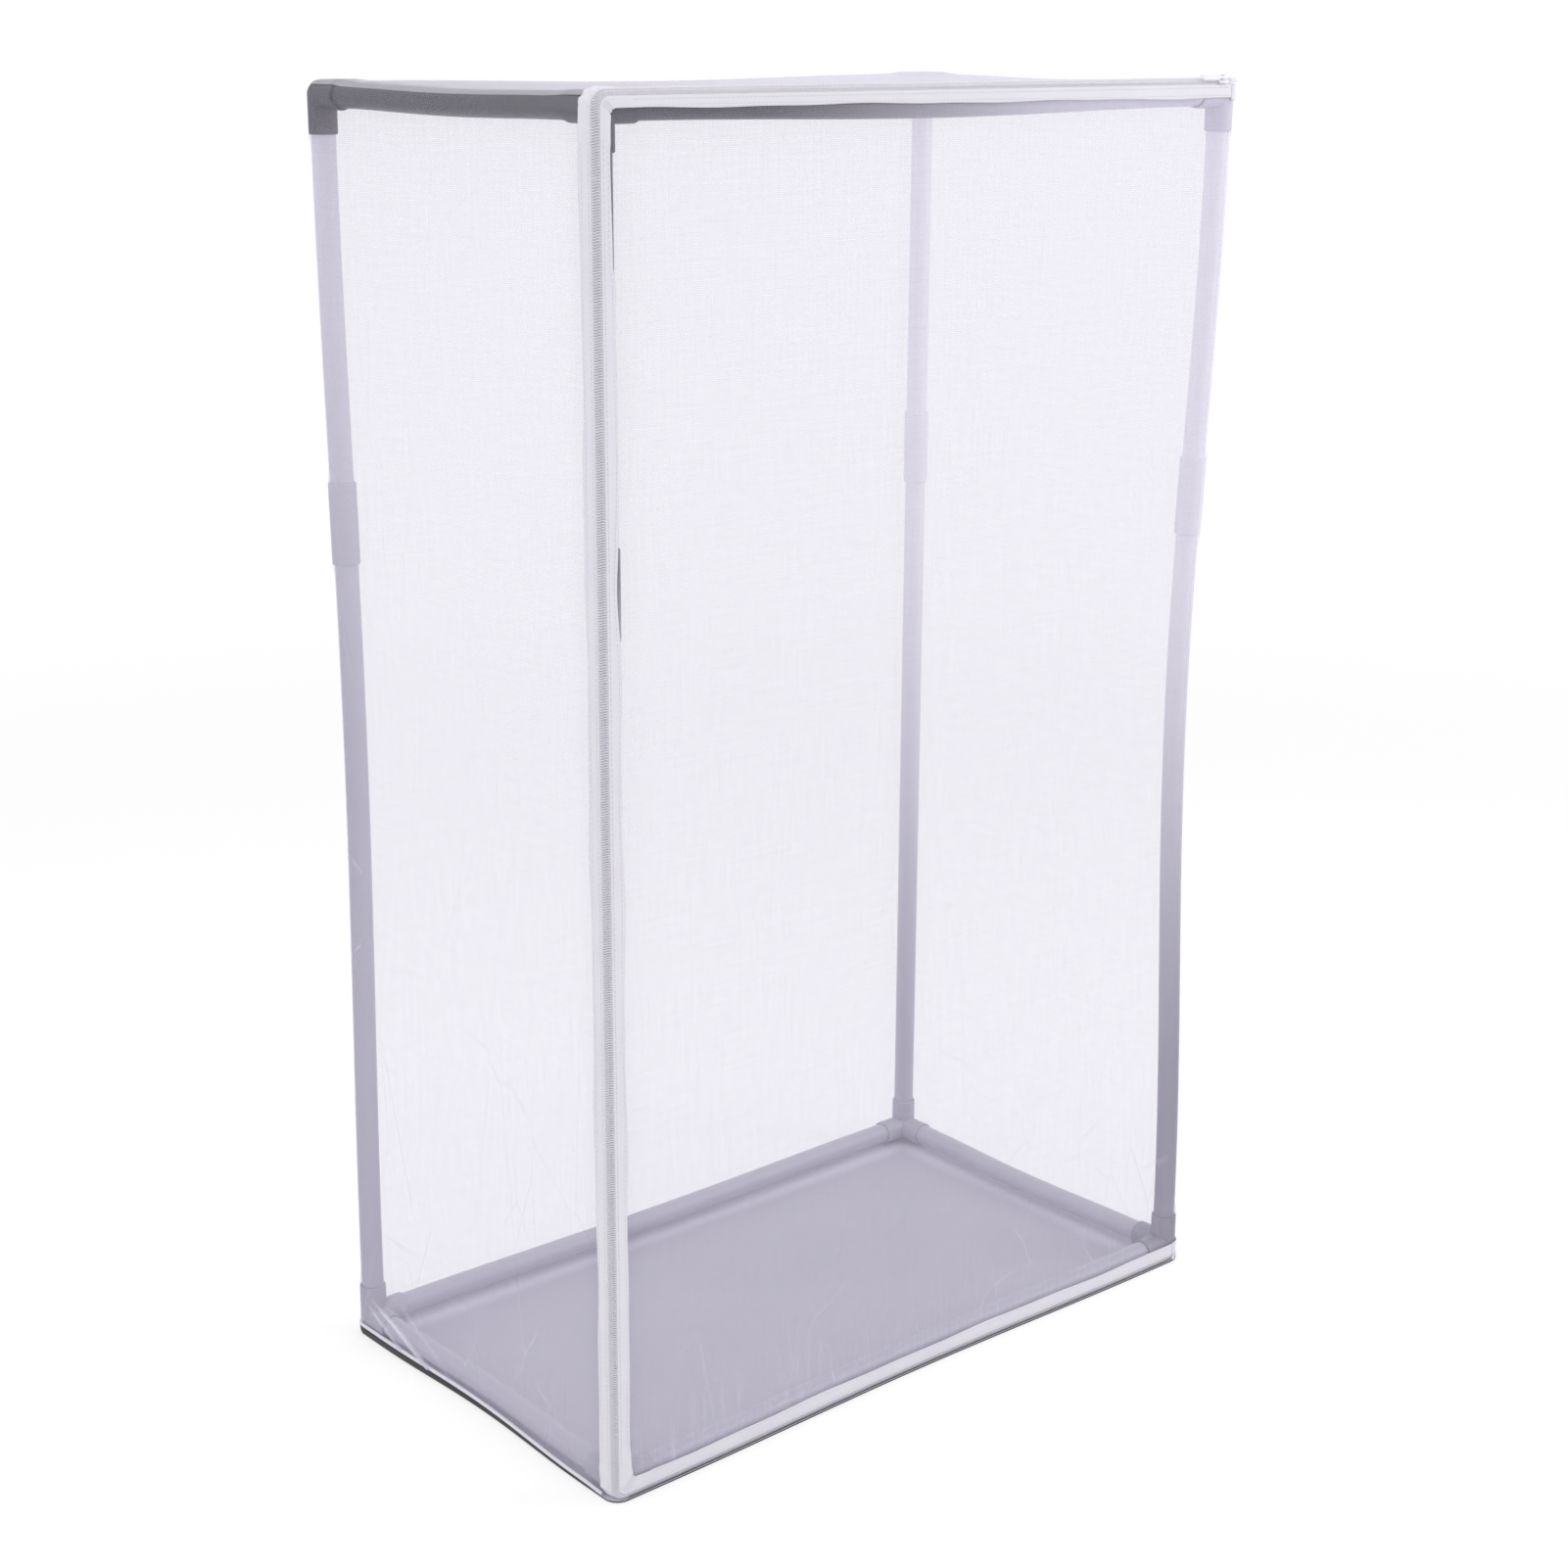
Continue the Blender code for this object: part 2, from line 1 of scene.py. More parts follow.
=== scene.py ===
# Insect cage: tube frame, fine white mesh cover with a zipped door, black floor cloth.
import math

import bmesh
import bpy
from mathutils import Matrix, Vector


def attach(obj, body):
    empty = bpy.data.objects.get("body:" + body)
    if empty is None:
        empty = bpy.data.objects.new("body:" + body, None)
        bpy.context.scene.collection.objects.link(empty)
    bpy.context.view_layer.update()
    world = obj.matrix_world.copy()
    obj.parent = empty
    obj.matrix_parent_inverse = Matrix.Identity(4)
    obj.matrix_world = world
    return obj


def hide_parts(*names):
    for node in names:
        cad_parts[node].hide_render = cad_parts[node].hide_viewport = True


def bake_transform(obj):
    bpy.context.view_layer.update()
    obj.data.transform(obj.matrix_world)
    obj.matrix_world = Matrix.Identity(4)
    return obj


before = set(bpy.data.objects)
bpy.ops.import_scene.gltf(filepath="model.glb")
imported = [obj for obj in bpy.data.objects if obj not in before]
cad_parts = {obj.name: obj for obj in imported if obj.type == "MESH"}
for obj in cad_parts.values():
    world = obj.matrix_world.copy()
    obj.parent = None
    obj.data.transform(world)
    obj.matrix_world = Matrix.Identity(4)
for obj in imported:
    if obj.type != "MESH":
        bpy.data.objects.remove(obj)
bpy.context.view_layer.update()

mm = 0.001

# The cage's own sizes, as its solids have them
cage = {
    "width": 560 * mm,
    "depth": 320 * mm,
    "height": 900 * mm,
    "axisInset": 10.8 * mm,
    "baseAxis": 12.6 * mm,
    "baseTop": 1.8 * mm,
    "tubeRadius": 8 * mm,
    "sleeveRadius": 9.5 * mm,
    "sleeveLength": 25 * mm,
    "socketFloor": 10.8 * mm,
    "couplingHeight": 607.5 * mm,
    "couplingLength": 56 * mm,
    "frontRightBow": 7 * mm,
    "backLeftBow": 3 * mm,
    "backRightBow": 5 * mm,
    "baseBow": 4 * mm,
    "topSag": 3 * mm,
    "sideSagShare": 0.5,
    "turn": 15.275 * mm,
}
halfWidth = cage["width"] / 2
halfDepth = cage["depth"] / 2
axisInset = cage["axisInset"]
hingeX = halfWidth - axisInset
topAxis = cage["height"] - axisInset
sleeveEnd = axisInset + cage["sleeveLength"]
quarterTurn = axisInset * math.pi / 2
faces = ((-1, "front"), (1, "back"))
sides = ((-1, "left"), (1, "right"))
levels = ((-1, "base"), (1, "top"))


def clamp(value, low=0, high=1):
    return min(max(value, low), high)


def smooth(value):
    value = clamp(value)
    return value * value * (3 - 2 * value)


def spaced(start, end, steps):
    return [start + (end - start) * step / steps for step in range(steps + 1)]


def bowShare(place, low, high):
    return math.sin(math.pi * clamp((place - low) / (high - low))) ** 2


# Where a point of the square cage lies once the tight cover has drawn the tubes in
def drawnIn(x, y, z):
    across = clamp(x / (halfWidth - 2 * axisInset), -1)
    along = clamp(y / (halfDepth - 2 * axisInset), -1)
    right = (1 + across) / 2
    back = (1 + along) / 2
    bow = (
        cage["frontRightBow"] * right * (1 - back)
        + cage["backLeftBow"] * (1 - right) * back
        + cage["backRightBow"] * right * back
    ) * bowShare(z, sleeveEnd, cage["height"] - sleeveEnd)
    wide = bowShare(x, sleeveEnd - halfWidth, halfWidth - sleeveEnd)
    deep = bowShare(y, sleeveEnd - halfDepth, halfDepth - sleeveEnd)
    low = clamp(1 - z / cage["height"]) ** 4
    high = clamp((2 * z - cage["height"]) / (cage["height"] - 4 * axisInset))
    behindZip = clamp((y + halfDepth - cage["turn"]) / axisInset)
    sag = cage["topSag"] * high * (wide * behindZip + cage["sideSagShare"] * deep)
    base = cage["baseBow"] * low
    return Vector((x - across * (bow + base * deep), y - along * (bow + base * wide), z - sag))


# An sRGB hex value as the linear colour that the shaders take
def paint(code):
    parts = [int(code[i:i + 2], 16) / 255 for i in (1, 3, 5)]
    return (*[p / 12.92 if p <= 0.04045 else ((p + 0.055) / 1.055) ** 2.4 for p in parts], 1)


# Adds a node and gives its outputs; an input takes another node's output, a hex colour or a plain value
def addNode(tree, kind, inputs=None, **settings):
    node = tree.nodes.new(kind)
    for key, value in settings.items():
        setattr(node, key, value)
    for key, value in (inputs or {}).items():
        if isinstance(value, bpy.types.NodeSocket):
            tree.links.new(value, node.inputs[key])
        else:
            node.inputs[key].default_value = paint(value) if isinstance(value, str) else value
    return node.outputs


def operate(tree, operation, *inputs, clamped=False):
    return addNode(tree, "ShaderNodeMath", dict(enumerate(inputs)), operation=operation, use_clamp=clamped)[0]


def ranged(tree, value, source=(0, 1), target=(0, 1), easing="LINEAR"):
    return addNode(tree, "ShaderNodeMapRange", {
        "Value": value, "From Min": source[0], "From Max": source[1],
        "To Min": target[0], "To Max": target[1]}, interpolation_type=easing)[0]


def noiseOf(tree, place, scale, detail):
    return addNode(tree, "ShaderNodeTexNoise", {"Vector": place, "Scale": scale, "Detail": detail})["Fac"]


# Bands this far apart
def bandsOf(tree, place, size, way, distortion=0.0):
    return addNode(tree, "ShaderNodeTexWave", {
        "Vector": place, "Scale": 2 * math.pi / 20 / size, "Distortion": distortion},
        bands_direction=way)["Fac"]


# The threads of a plain weave
def weaveOf(tree, place, size, distortion=0.0):
    return operate(tree, "MAXIMUM", *[bandsOf(tree, place, size, way, distortion) for way in ("X", "Y")])


def stretched(tree, place, scale, shift=0.0, turn=0.0):
    return addNode(tree, "ShaderNodeMapping", {
        "Vector": place, "Location": (shift, shift * 0.7, 0), "Rotation": (0, 0, turn), "Scale": scale})[0]


def mixOf(tree, share, first, second):
    return addNode(tree, "ShaderNodeMix", {0: share, 6: first, 7: second}, data_type="RGBA")[2]


def bumpOf(tree, height, strength, depth):
    return addNode(tree, "ShaderNodeBump", {"Height": height, "Strength": strength, "Distance": depth})[0]


def surfaceOf(tree, colour, roughness, normal, gloss=0.5):
    return addNode(tree, "ShaderNodeBsdfPrincipled", {
        "Base Color": colour, "Roughness": roughness, "Normal": normal, "Specular IOR Level": gloss})[0]


def shareOf(tree, share, first, second):
    return addNode(tree, "ShaderNodeMixShader", {0: share, 1: first, 2: second})[0]


# A new material, its tree and its texture coordinates
def newMaterial(name):
    made = bpy.data.materials.new(name)
    made.use_nodes = True
    tree = made.node_tree
    tree.nodes.clear()
    return made, tree, addNode(tree, "ShaderNodeTexCoord")


def endIn(tree, surface):
    addNode(tree, "ShaderNodeOutputMaterial", {"Surface": surface})


def addPiece(name, mesh, finish):
    made = bpy.data.objects.new(name, mesh)
    mesh.materials.clear()
    mesh.materials.append(finish)
    bpy.context.scene.collection.objects.link(made)
    return made


def meshFrom(bm, name):
    mesh = bpy.data.meshes.new(name)
    bm.to_mesh(mesh)
    bm.free()
    return mesh


print("frame loaded:", len(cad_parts), "nodes")

# The studio: what the camera sees and how the cage is lit
studio = {
    "lens": 60.24,
    "sensorWidth": 36,
    "cameraPlace": (-1.1899, -1.3809, 0.9385),
    "yaw": 40.784,
    "pitch": 16.279,
    "roll": 0.297,
    "ambient": 0.6,
    "white": "#ffffff",
    "floorPaint": "#f2f2f2",
    "floorGlow": 1.3,  # strength of the light that stands in for half of the paper where it is seen
    "floorGlowShare": 0.5,
    "floorFade": (1.1, 2.6),  # from here on the paper is plain white backdrop
    "floorRadius": 12.0,
    "seeThroughLayers": 24,
}
# Each lamp's place, size and power
lamps = {
    "key": ((1.25, -1.2, 1.3), (0.8, 1.2), 9),
    "fill": ((-1.6, 1.0, 1.0), (0.9, 1.4), 4),
    "corner": ((-1.5, -1.35, 1.25), (1.2, 1.4), 4.5),
    "top": ((0.0, 0.2, 2.4), (1.6, 1.2), 8),
}


# 1 for a ray that shows the background: from the camera, off gloss or through glass
def seenRay(tree):
    path = addNode(tree, "ShaderNodeLightPath")
    first = operate(tree, "MAXIMUM", path["Is Camera Ray"], path["Is Glossy Ray"])
    return operate(tree, "MAXIMUM", first, path["Is Transmission Ray"])


# The backdrop is at full strength where it is seen, and gives the ambient light
def backdropStrength(tree):
    return addNode(tree, "ShaderNodeMix", {
        0: seenRay(tree), 2: studio["ambient"], 3: 1.0}, data_type="FLOAT")[0]


def makeWorld():
    world = bpy.data.worlds.new("paleStudio")
    bpy.context.scene.world = world
    world.use_nodes = True
    tree = world.node_tree
    tree.nodes.clear()
    backdrop = addNode(tree, "ShaderNodeBackground", {
        "Color": studio["white"], "Strength": backdropStrength(tree)})[0]
    addNode(tree, "ShaderNodeOutputWorld", {"Surface": backdrop})


# Matt white floor paper: it is seen white all over but where the cage shades it
def makeFloor():
    made, tree, place = newMaterial("mattWhiteFloorPaper")
    share = operate(tree, "MULTIPLY", seenRay(tree), studio["floorGlowShare"])
    matt = addNode(tree, "ShaderNodeBsdfDiffuse", {"Color": studio["floorPaint"]})[0]
    glow, far = [addNode(tree, "ShaderNodeEmission", {"Color": studio["white"], "Strength": strength})[0]
                 for strength in (studio["floorGlow"], backdropStrength(tree))]
    away = addNode(tree, "ShaderNodeVectorMath", {0: place["Object"]}, operation="LENGTH")["Value"]
    fade = ranged(tree, away, studio["floorFade"], easing="SMOOTHSTEP")
    endIn(tree, shareOf(tree, fade, shareOf(tree, share, matt, glow), far))
    bm = bmesh.new()
    bmesh.ops.create_circle(bm, cap_ends=True, radius=studio["floorRadius"], segments=64)
    addPiece("studioFloor", meshFrom(bm, "studioFloor"), made)


def makeLight(name, place, size, power):
    lamp = bpy.data.lights.new(name, "AREA")
    lamp.shape = "RECTANGLE"
    lamp.size, lamp.size_y = size
    lamp.energy = power
    holder = bpy.data.objects.new(name + "Softbox", lamp)
    holder.location = place
    aim = Vector((0, 0, cage["height"] / 2)) - holder.location
    holder.rotation_euler = aim.to_track_quat("-Z", "Y").to_euler()
    bpy.context.scene.collection.objects.link(holder)


def makeCamera():
    lens = bpy.data.cameras.new("viewCamera")
    lens.lens = studio["lens"]
    lens.sensor_width = studio["sensorWidth"]
    camera = bpy.data.objects.new("viewCamera", lens)
    yaw, pitch, roll = (math.radians(studio[key]) for key in ("yaw", "pitch", "roll"))
    ahead = Vector((math.sin(yaw) * math.cos(pitch), math.cos(yaw) * math.cos(pitch), -math.sin(pitch)))
    right = Vector((math.cos(yaw), -math.sin(yaw), 0))
    up = right.cross(ahead)
    rightTurned = right * math.cos(roll) + up * math.sin(roll)
    upTurned = up * math.cos(roll) - right * math.sin(roll)
    camera.matrix_world = Matrix.Translation(studio["cameraPlace"]) @ Matrix(
        (rightTurned, upTurned, -ahead)).transposed().to_4x4()
    bpy.context.scene.collection.objects.link(camera)
    bpy.context.scene.camera = camera


makeWorld()
makeFloor()
for lampName, values in lamps.items():
    makeLight(lampName, *values)
makeCamera()
bpy.context.scene.view_settings.view_transform = "Standard"
bpy.context.scene.cycles.transparent_max_bounces = studio["seeThroughLayers"]
print("studio ready")

# The frame's plastics, extruded for the tubes and injection moulded for the fittings
tubePlastic = {
    "patchDetail": 3.0,
    "roughness": (0.29, 0.42),
    "grainSize": 0.5 * mm,  # faint lines that the die leaves
    "bumpStrength": 0.15,
}
fittingPlastic = {
    "patchDetail": 4.0,
    "roughness": (0.36, 0.50),
    "grainSize": 0.6 * mm,  # the fine grain of a spark-eroded mould
    "bumpStrength": 0.3,
}
plastics = {"patchSize": 60 * mm, "grainDetail": 2.0, "bumpHeight": 0.02 * mm}
# Their greys, as lit and shaded copies of one plastic: two shades in patches, and the shade that these give
# way to along an axis; these greys and ramps are painted light and shade, darker at the top left and beside
# the zip, paler towards the top and the right, where the light falls
tubePaintedLightShades = {
    "base": ("PaleGrey", "#b6b3c1", "#c0bdcb", "#e2dfeb", "Z", (400 * mm, 850 * mm)),
    "top": ("Black", "#2c2a30", "#363339", "#e2dfec", "X", (-190 * mm, 170 * mm)),
    "corner": ("Grey", "#8d8995", "#9894a0", "#4f4b55", "Z", (620 * mm, 850 * mm)),
    "right": ("MidGrey", "#94919f", "#9c99a7", "#f8f5fd", "Z", (120 * mm, 620 * mm)),
    "back": ("LightGrey", "#b4b1bf", "#bbb8c6", "#f6f3fb", "Z", (100 * mm, 620 * mm)),
}
fittingPaintedLightShades = {
    "base": ("PaleGrey", "#aeabb8", "#b8b5c2", "#dad7e3", "Z", (400 * mm, 850 * mm)),
    "top": ("Black", "#312e35", "#3b383f", "#dcd9e6", "X", (-190 * mm, 200 * mm)),
    "corner": ("Grey", "#a29eaa", "#a7a3af", "#6f6b76", "Z", (580 * mm, 625 * mm)),
    "right": ("MidGrey", "#8f8c9a", "#9794a2", "#dad7e3", "Z", (400 * mm, 850 * mm)),
    "light": ("LightGrey", "#eeebf5", "#f4f1f9", "#f5f2fa", "Z", (400 * mm, 850 * mm)),
}


# Satin ABS: a tube's shine goes with its patches, a fitting's with its mould's grain
def makePlastic(name, kind, shades):
    grey, first, second, last, along, span = shades
    made, tree, place = newMaterial(name.format(grey))
    patches = noiseOf(tree, place["Object"], 1 / plastics["patchSize"], kind["patchDetail"])
    grain = noiseOf(tree, place["Object"], 1 / kind["grainSize"], plastics["grainDetail"])
    shine = ranged(tree, patches if kind is tubePlastic else grain, target=kind["roughness"])
    spot = addNode(tree, "ShaderNodeSeparateXYZ", {0: place["Object"]})
    # Painted light and shade: the colour turns along the axis to a lit or shaded grey
    share = ranged(tree, spot[along], span, easing="SMOOTHSTEP")
    colour = mixOf(tree, share, mixOf(tree, patches, first, second), last)
    bump = bumpOf(tree, grain, kind["bumpStrength"], plastics["bumpHeight"])
    endIn(tree, surfaceOf(tree, colour, shine, bump))
    return made


tubeLitAndShadedCopies = {key: makePlastic("extruded{}AbsTube", tubePlastic, shades)
              for key, shades in tubePaintedLightShades.items()}
fittingLitAndShadedCopies = {key: makePlastic("moulded{}AbsFitting", fittingPlastic, shades)
                 for key, shades in fittingPaintedLightShades.items()}


def evaluatedMesh(thing):
    return bpy.data.meshes.new_from_object(thing.evaluated_get(bpy.context.evaluated_depsgraph_get()))


# A piece that stands for one node and stays with the frame
def dressFrame(piece, node):
    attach(piece, "frame")
    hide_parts(node)
    return piece


# The faces between two closed rings of points
def joinRings(bm, one, two, flipped=False):
    for i in range(len(one)):
        j = (i + 1) % len(one)
        quad = (one[i], one[j], two[j], two[i])
        bm.faces.new(quad[::-1] if flipped else quad)


# A hollow or solid round bar along a path, with its radius given at each point
def roundBar(path, radii, wall=0, facets=32):
    bm = bmesh.new()
    ahead = (path[1] - path[0]).normalized()
    side = ahead.orthogonal().normalized()
    rings = []
    for number, (spot, radius) in enumerate(zip(path, radii)):
        before, after = path[max(number - 1, 0)], path[min(number + 1, len(path) - 1)]
        if (after - before).length > 0:
            turned = (after - before).normalized()
            side = (ahead.rotation_difference(turned) @ side).normalized()
            ahead = turned
        other = ahead.cross(side)
        rings.append([[bm.verts.new(spot + size * (side * math.cos(a) + other * math.sin(a)))
                       for a in spaced(0, 2 * math.pi, facets)[:-1]]
                      for size in ((radius, radius - wall) if wall else (radius,))])
    for near, far in zip(rings, rings[1:]):
        for layer, (one, two) in enumerate(zip(near, far)):
            joinRings(bm, one, two, layer > 0)
    for pair, last in ((rings[0], False), (rings[-1], True)):
        if wall:
            joinRings(bm, pair[1], pair[0], last)
        else:
            bm.faces.new(pair[0] if last else pair[0][::-1])
    bmesh.ops.recalc_face_normals(bm, faces=bm.faces)
    return bm


# The ends of a bar or sleeve, taken off at 45 degrees
def chamfered(path, radius, chamfer):
    way = (path[1] - path[0]).normalized()
    back = (path[-1] - path[-2]).normalized()
    full = [path[0], path[0] + way * chamfer, *path[1:-1], path[-1] - back * chamfer, path[-1]]
    return full, [radius - chamfer] + [radius] * (len(full) - 2) + [radius - chamfer]


tubes = {
    "wall": 1.5 * mm,
    "chamfer": 0.3 * mm,
    "steps": 20,
    "couplingStop": 1 * mm,
    "sleeveWall": 1.1 * mm,
    "sleeveChamfer": 0.6 * mm,
    "sleeveFacets": 40,
    "sharpAngle": math.radians(35),
}
corners = {
    "ballShare": 1.004,  # the rounded middle stands this little proud of the sleeves
    "ballFacets": (40, 20),
    "ballTurn": math.radians(17),
    "sleevePlaces": (0.2 * mm, 12 * mm),
    "borePlace": 18 * mm,
    "boreOver": 1 * mm,
    "boreClearance": 0.3 * mm,
    "boreFacets": 36,
    "weld": 0.01 * mm,
}


def finishRound(name, bm, finish, node):
    mesh = meshFrom(bm, name)
    mesh.shade_smooth()
    mesh.set_sharp_from_angle(angle=tubes["sharpAngle"])
    return dressFrame(addPiece(name, mesh, finish), node)


def cornerAt(side, face, level):
    z = cage["baseAxis"] if level < 0 else topAxis
    return Vector((side * (halfWidth - axisInset), face * (halfDepth - axisInset), z))


def makeTube(name, node, path, grey="base"):
    full, radii = chamfered(path, cage["tubeRadius"], tubes["chamfer"])
    bm = roundBar(full, radii, tubes["wall"])
    return finishRound(name, bm, tubeLitAndShadedCopies[grey], node)


# The painted shades of an upright's lower tube, coupling and upper tube: the front left one is painted dark
# beside the zip, where the zip's tape shades it, and the right ones are painted lit, paler towards the top
def uprightPaintedShades(face, side):
    if side < 0:
        return ("base", "corner", "corner") if face < 0 else ("base", "base", "base")
    grey = "right" if face < 0 else "back"
    return grey, "light", grey


def makeUprights():
    middle = cage["couplingHeight"]
    reach = cage["couplingLength"] / 2
    foot = cage["baseAxis"] + cage["socketFloor"]
    head = topAxis - cage["socketFloor"]
    for face, faceName in faces:
        for side, sideName in sides:
            x, y = side * (halfWidth - axisInset), face * (halfDepth - axisInset)
            low, high = drawnIn(x, y, middle - reach), drawnIn(x, y, middle + reach)
            centre = (low + high) / 2
            stop = (high - low).normalized() * tubes["couplingStop"] / 2
            lower = [foot] + spaced(sleeveEnd, middle - reach, tubes["steps"])
            upper = spaced(middle + reach, cage["height"] - sleeveEnd, tubes["steps"]) + [head]
            name = faceName.title() + sideName.title()
            node = f"{faceName}_{sideName}"
            lowerGrey, sleeveGrey, upperGrey = uprightPaintedShades(face, side)
            makeTube(f"upright{name}Lower", f"upright_{node}_lower",
                     [drawnIn(x, y, z) for z in lower] + [centre - stop], lowerGrey)
            makeTube(f"upright{name}Upper", f"upright_{node}_upper",
                     [centre + stop] + [drawnIn(x, y, z) for z in upper], upperGrey)
            full, radii = chamfered([low, centre, high], cage["sleeveRadius"], tubes["sleeveChamfer"])
            bm = roundBar(full, radii, tubes["sleeveWall"], tubes["sleeveFacets"])
            finishRound(f"coupling{name}", bm, fittingLitAndShadedCopies[sleeveGrey], f"coupling_{node}")


def railPath(start, end, sagShare):
    way = (end - start).normalized()
    first, last = start + way * cage["sleeveLength"], end - way * cage["sleeveLength"]
    places = [start + way * cage["socketFloor"]]
    places += [first.lerp(last, share) for share in spaced(0, 1, tubes["steps"])]
    places.append(end - way * cage["socketFloor"])
    if start.z < cage["height"] / 2:
        return [drawnIn(*place) for place in places]
    span = (end - start).length
    return [place - Vector((0, 0, cage["topSag"] * sagShare * bowShare(
        (place - start).length, cage["sleeveLength"], span - cage["sleeveLength"]))) for place in places]


def makeRails():
    for level, levelName in levels:
        rails = [(wayName, cornerAt(-1, face, level), cornerAt(1, face, level), 1) for face, wayName in faces]
        rails += [(wayName, cornerAt(side, -1, level), cornerAt(side, 1, level), cage["sideSagShare"])
                  for side, wayName in sides]
        # Painted light and shade: the top rails take the top grey, dark at the left and paler to the right,
        # where the light falls
        for wayName, start, end, sagShare in rails:
            makeTube(f"{levelName}Rail{wayName.title()}", f"{levelName}_rail_{wayName}",
                     railPath(start, end, sagShare), levelName)


# Three sleeves that leave a rounded middle, each with its rim taken off and its socket cut
def cornerPattern():
    radius = cage["sleeveRadius"]
    wide, high = corners["ballFacets"]
    bm = bmesh.new()
    bmesh.ops.create_uvsphere(bm, u_segments=wide, v_segments=high, radius=radius * corners["ballShare"])
    bmesh.ops.rotate(bm, verts=bm.verts, matrix=Matrix.Rotation(corners["ballTurn"], 3, Vector((1, 1, 1))))
    plain = fittingLitAndShadedCopies["base"]
    middle = addPiece("cornerBall", meshFrom(bm, "cornerBall"), plain)
    sleeves, holes = [], []
    for number, way in enumerate((Vector((1, 0, 0)), Vector((0, 1, 0)), Vector((0, 0, 1)))):
        path, radii = chamfered([way * place for place in (*corners["sleevePlaces"], cage["sleeveLength"])],
                                radius, tubes["sleeveChamfer"])
        radii[0] = radius
        bar = roundBar(path, radii, facets=tubes["sleeveFacets"] + 2 * number)
        sleeves.append(addPiece("cornerSleeve", meshFrom(bar, "sleeve"), plain))
        bore = [way * place for place in (
            cage["socketFloor"], corners["borePlace"], cage["sleeveLength"] + corners["boreOver"])]
        bar = roundBar(bore, [cage["tubeRadius"] + corners["boreClearance"]] * 3,
                       facets=corners["boreFacets"])
        holes.append(addPiece("cornerBore", meshFrom(bar, "bore"), plain))
    for operation, tools in (("UNION", sleeves), ("DIFFERENCE", holes)):
        for tool in tools:
            change = middle.modifiers.new(operation, "BOOLEAN")
            change.operation = operation
            change.object = tool
    pattern = evaluatedMesh(middle)
    for thing in (middle, *sleeves, *holes):
        bpy.data.objects.remove(thing)
    return pattern


def makeCorners():
    pattern = cornerPattern()
    for level, levelName in levels:
        for face, faceName in faces:
            for side, sideName in sides:
                bm = bmesh.new()
                bm.from_mesh(pattern)
                bmesh.ops.remove_doubles(bm, verts=bm.verts, dist=corners["weld"])
                bmesh.ops.transform(bm, verts=bm.verts, matrix=Matrix.Translation(
                    cornerAt(side, face, level)) @ Matrix.Diagonal((-side, -face, -level, 1)))
                bmesh.ops.recalc_face_normals(bm, faces=bm.faces)
                name = f"corner{levelName.title()}{faceName.title()}{sideName.title()}"
                node = f"corner_{levelName}_{faceName}_{sideName}"
                # Painted light and shade: the top corners are dark and paler to the right; the front right
                # one at the foot takes the lit grey of its upright
                grey = "right" if (level, face, side) == (-1, -1, 1) else levelName
                finishRound(name, bm, fittingLitAndShadedCopies[grey], node)


makeUprights()
makeRails()
makeCorners()
print("tubes and fittings ready")

# The cover's cloth
cloths = {
    "meshPaint": "#eeeafb",
    "foldPaint": "#f8f6fd",  # where the mesh lies double or is creased
    "meshCoverage": 0.13,  # share of one face that its threads cover; the mesh has two faces
    "threadSpacing": 1.3 * mm,  # the real 0.5 mm is too fine to show, so it is drawn coarser
    "threadContrast": 0.06,
    "threadRange": (0.4, 1.0),
    "backLight": 0.5,
    "meshRoughness": 0.6,
    "meshBump": (0.3, 0.1 * mm),
    "clothGloss": 0.08,
    "creaseWidth": 1.0 * mm,
    "creaseSpacing": 60 * mm,
    "creaseStretch": 0.35,
    "creaseParts": (0.5, 0.68),
    "creaseStrength": 0.17,
    "creaseTurns": ((38, 0.13), (-32, 0.57), (8, 1.31)),
    "streakSpacing": 2.5 * mm,  # threads that lie closer together here and there
    "streakStretch": 0.05,
    "streakRange": (0.7, 1.3),
    "streakStrength": 0.013,
    "gatherSpacing": 3.5 * mm,
    "gatherStretch": 0.05,
    "gatherRange": (0.5, 0.75),
    "gatherStrength": 0.14,
    "foldStrength": 0.7,
    "topDensity": 0.42,  # the top is only seen along its surface, where the threads close up
    "thickness": 0.3 * mm,
    "tapePaint": ("#f1eefb", "#fcfaff"),
    "tapeRib": 0.7 * mm,
    "tapeRowShare": 0.6,
    "tapePatches": 25.0,
    "tapeRoughness": 0.75,
    "tapeBump": (0.5, 0.15 * mm),
    "tapeThickness": 0.35 * mm,
    "floorPaint": ("#b8b5c3", "#c4c1ce"),
    "undersidePaint": "#1c1a1f",
    # The welt is a seam strip and also painted light, lifting the shade beside the rails
    "weltWithPaintedLight": "#e6e3ef",  # the paler strip of floor cloth beside the rails
    "weltInset": (21 * mm, 38 * mm),
    "floorWeave": 0.9 * mm,
    "floorPatches": 9.0,
    "floorRoughness": (0.42, 0.6),
    "floorFacing": (0.75, 0.9),
    "floorBump": (0.35, 0.1 * mm),
}


markNames = ("slack", "gather", "fold", "dense")


# Straight, thin, broken lines where cells meet, drawn out along one direction, as in crumpled cloth
def creaseLines(tree, place, turn, shift):
    size = cloths["creaseSpacing"]
    turned = stretched(tree, place, (1, cloths["creaseStretch"], 1), shift, math.radians(turn))
    cells = addNode(tree, "ShaderNodeTexVoronoi", {"Vector": turned, "Scale": 1 / size, "Randomness": 1.0},
                    feature="DISTANCE_TO_EDGE", voronoi_dimensions="2D")
    line = ranged(tree, cells["Distance"], (0, cloths["creaseWidth"] / size), (1, 0))
    broken = ranged(tree, noiseOf(tree, turned, 1.1 / size, 1.0), cloths["creaseParts"])
    return operate(tree, "MULTIPLY", line, broken)


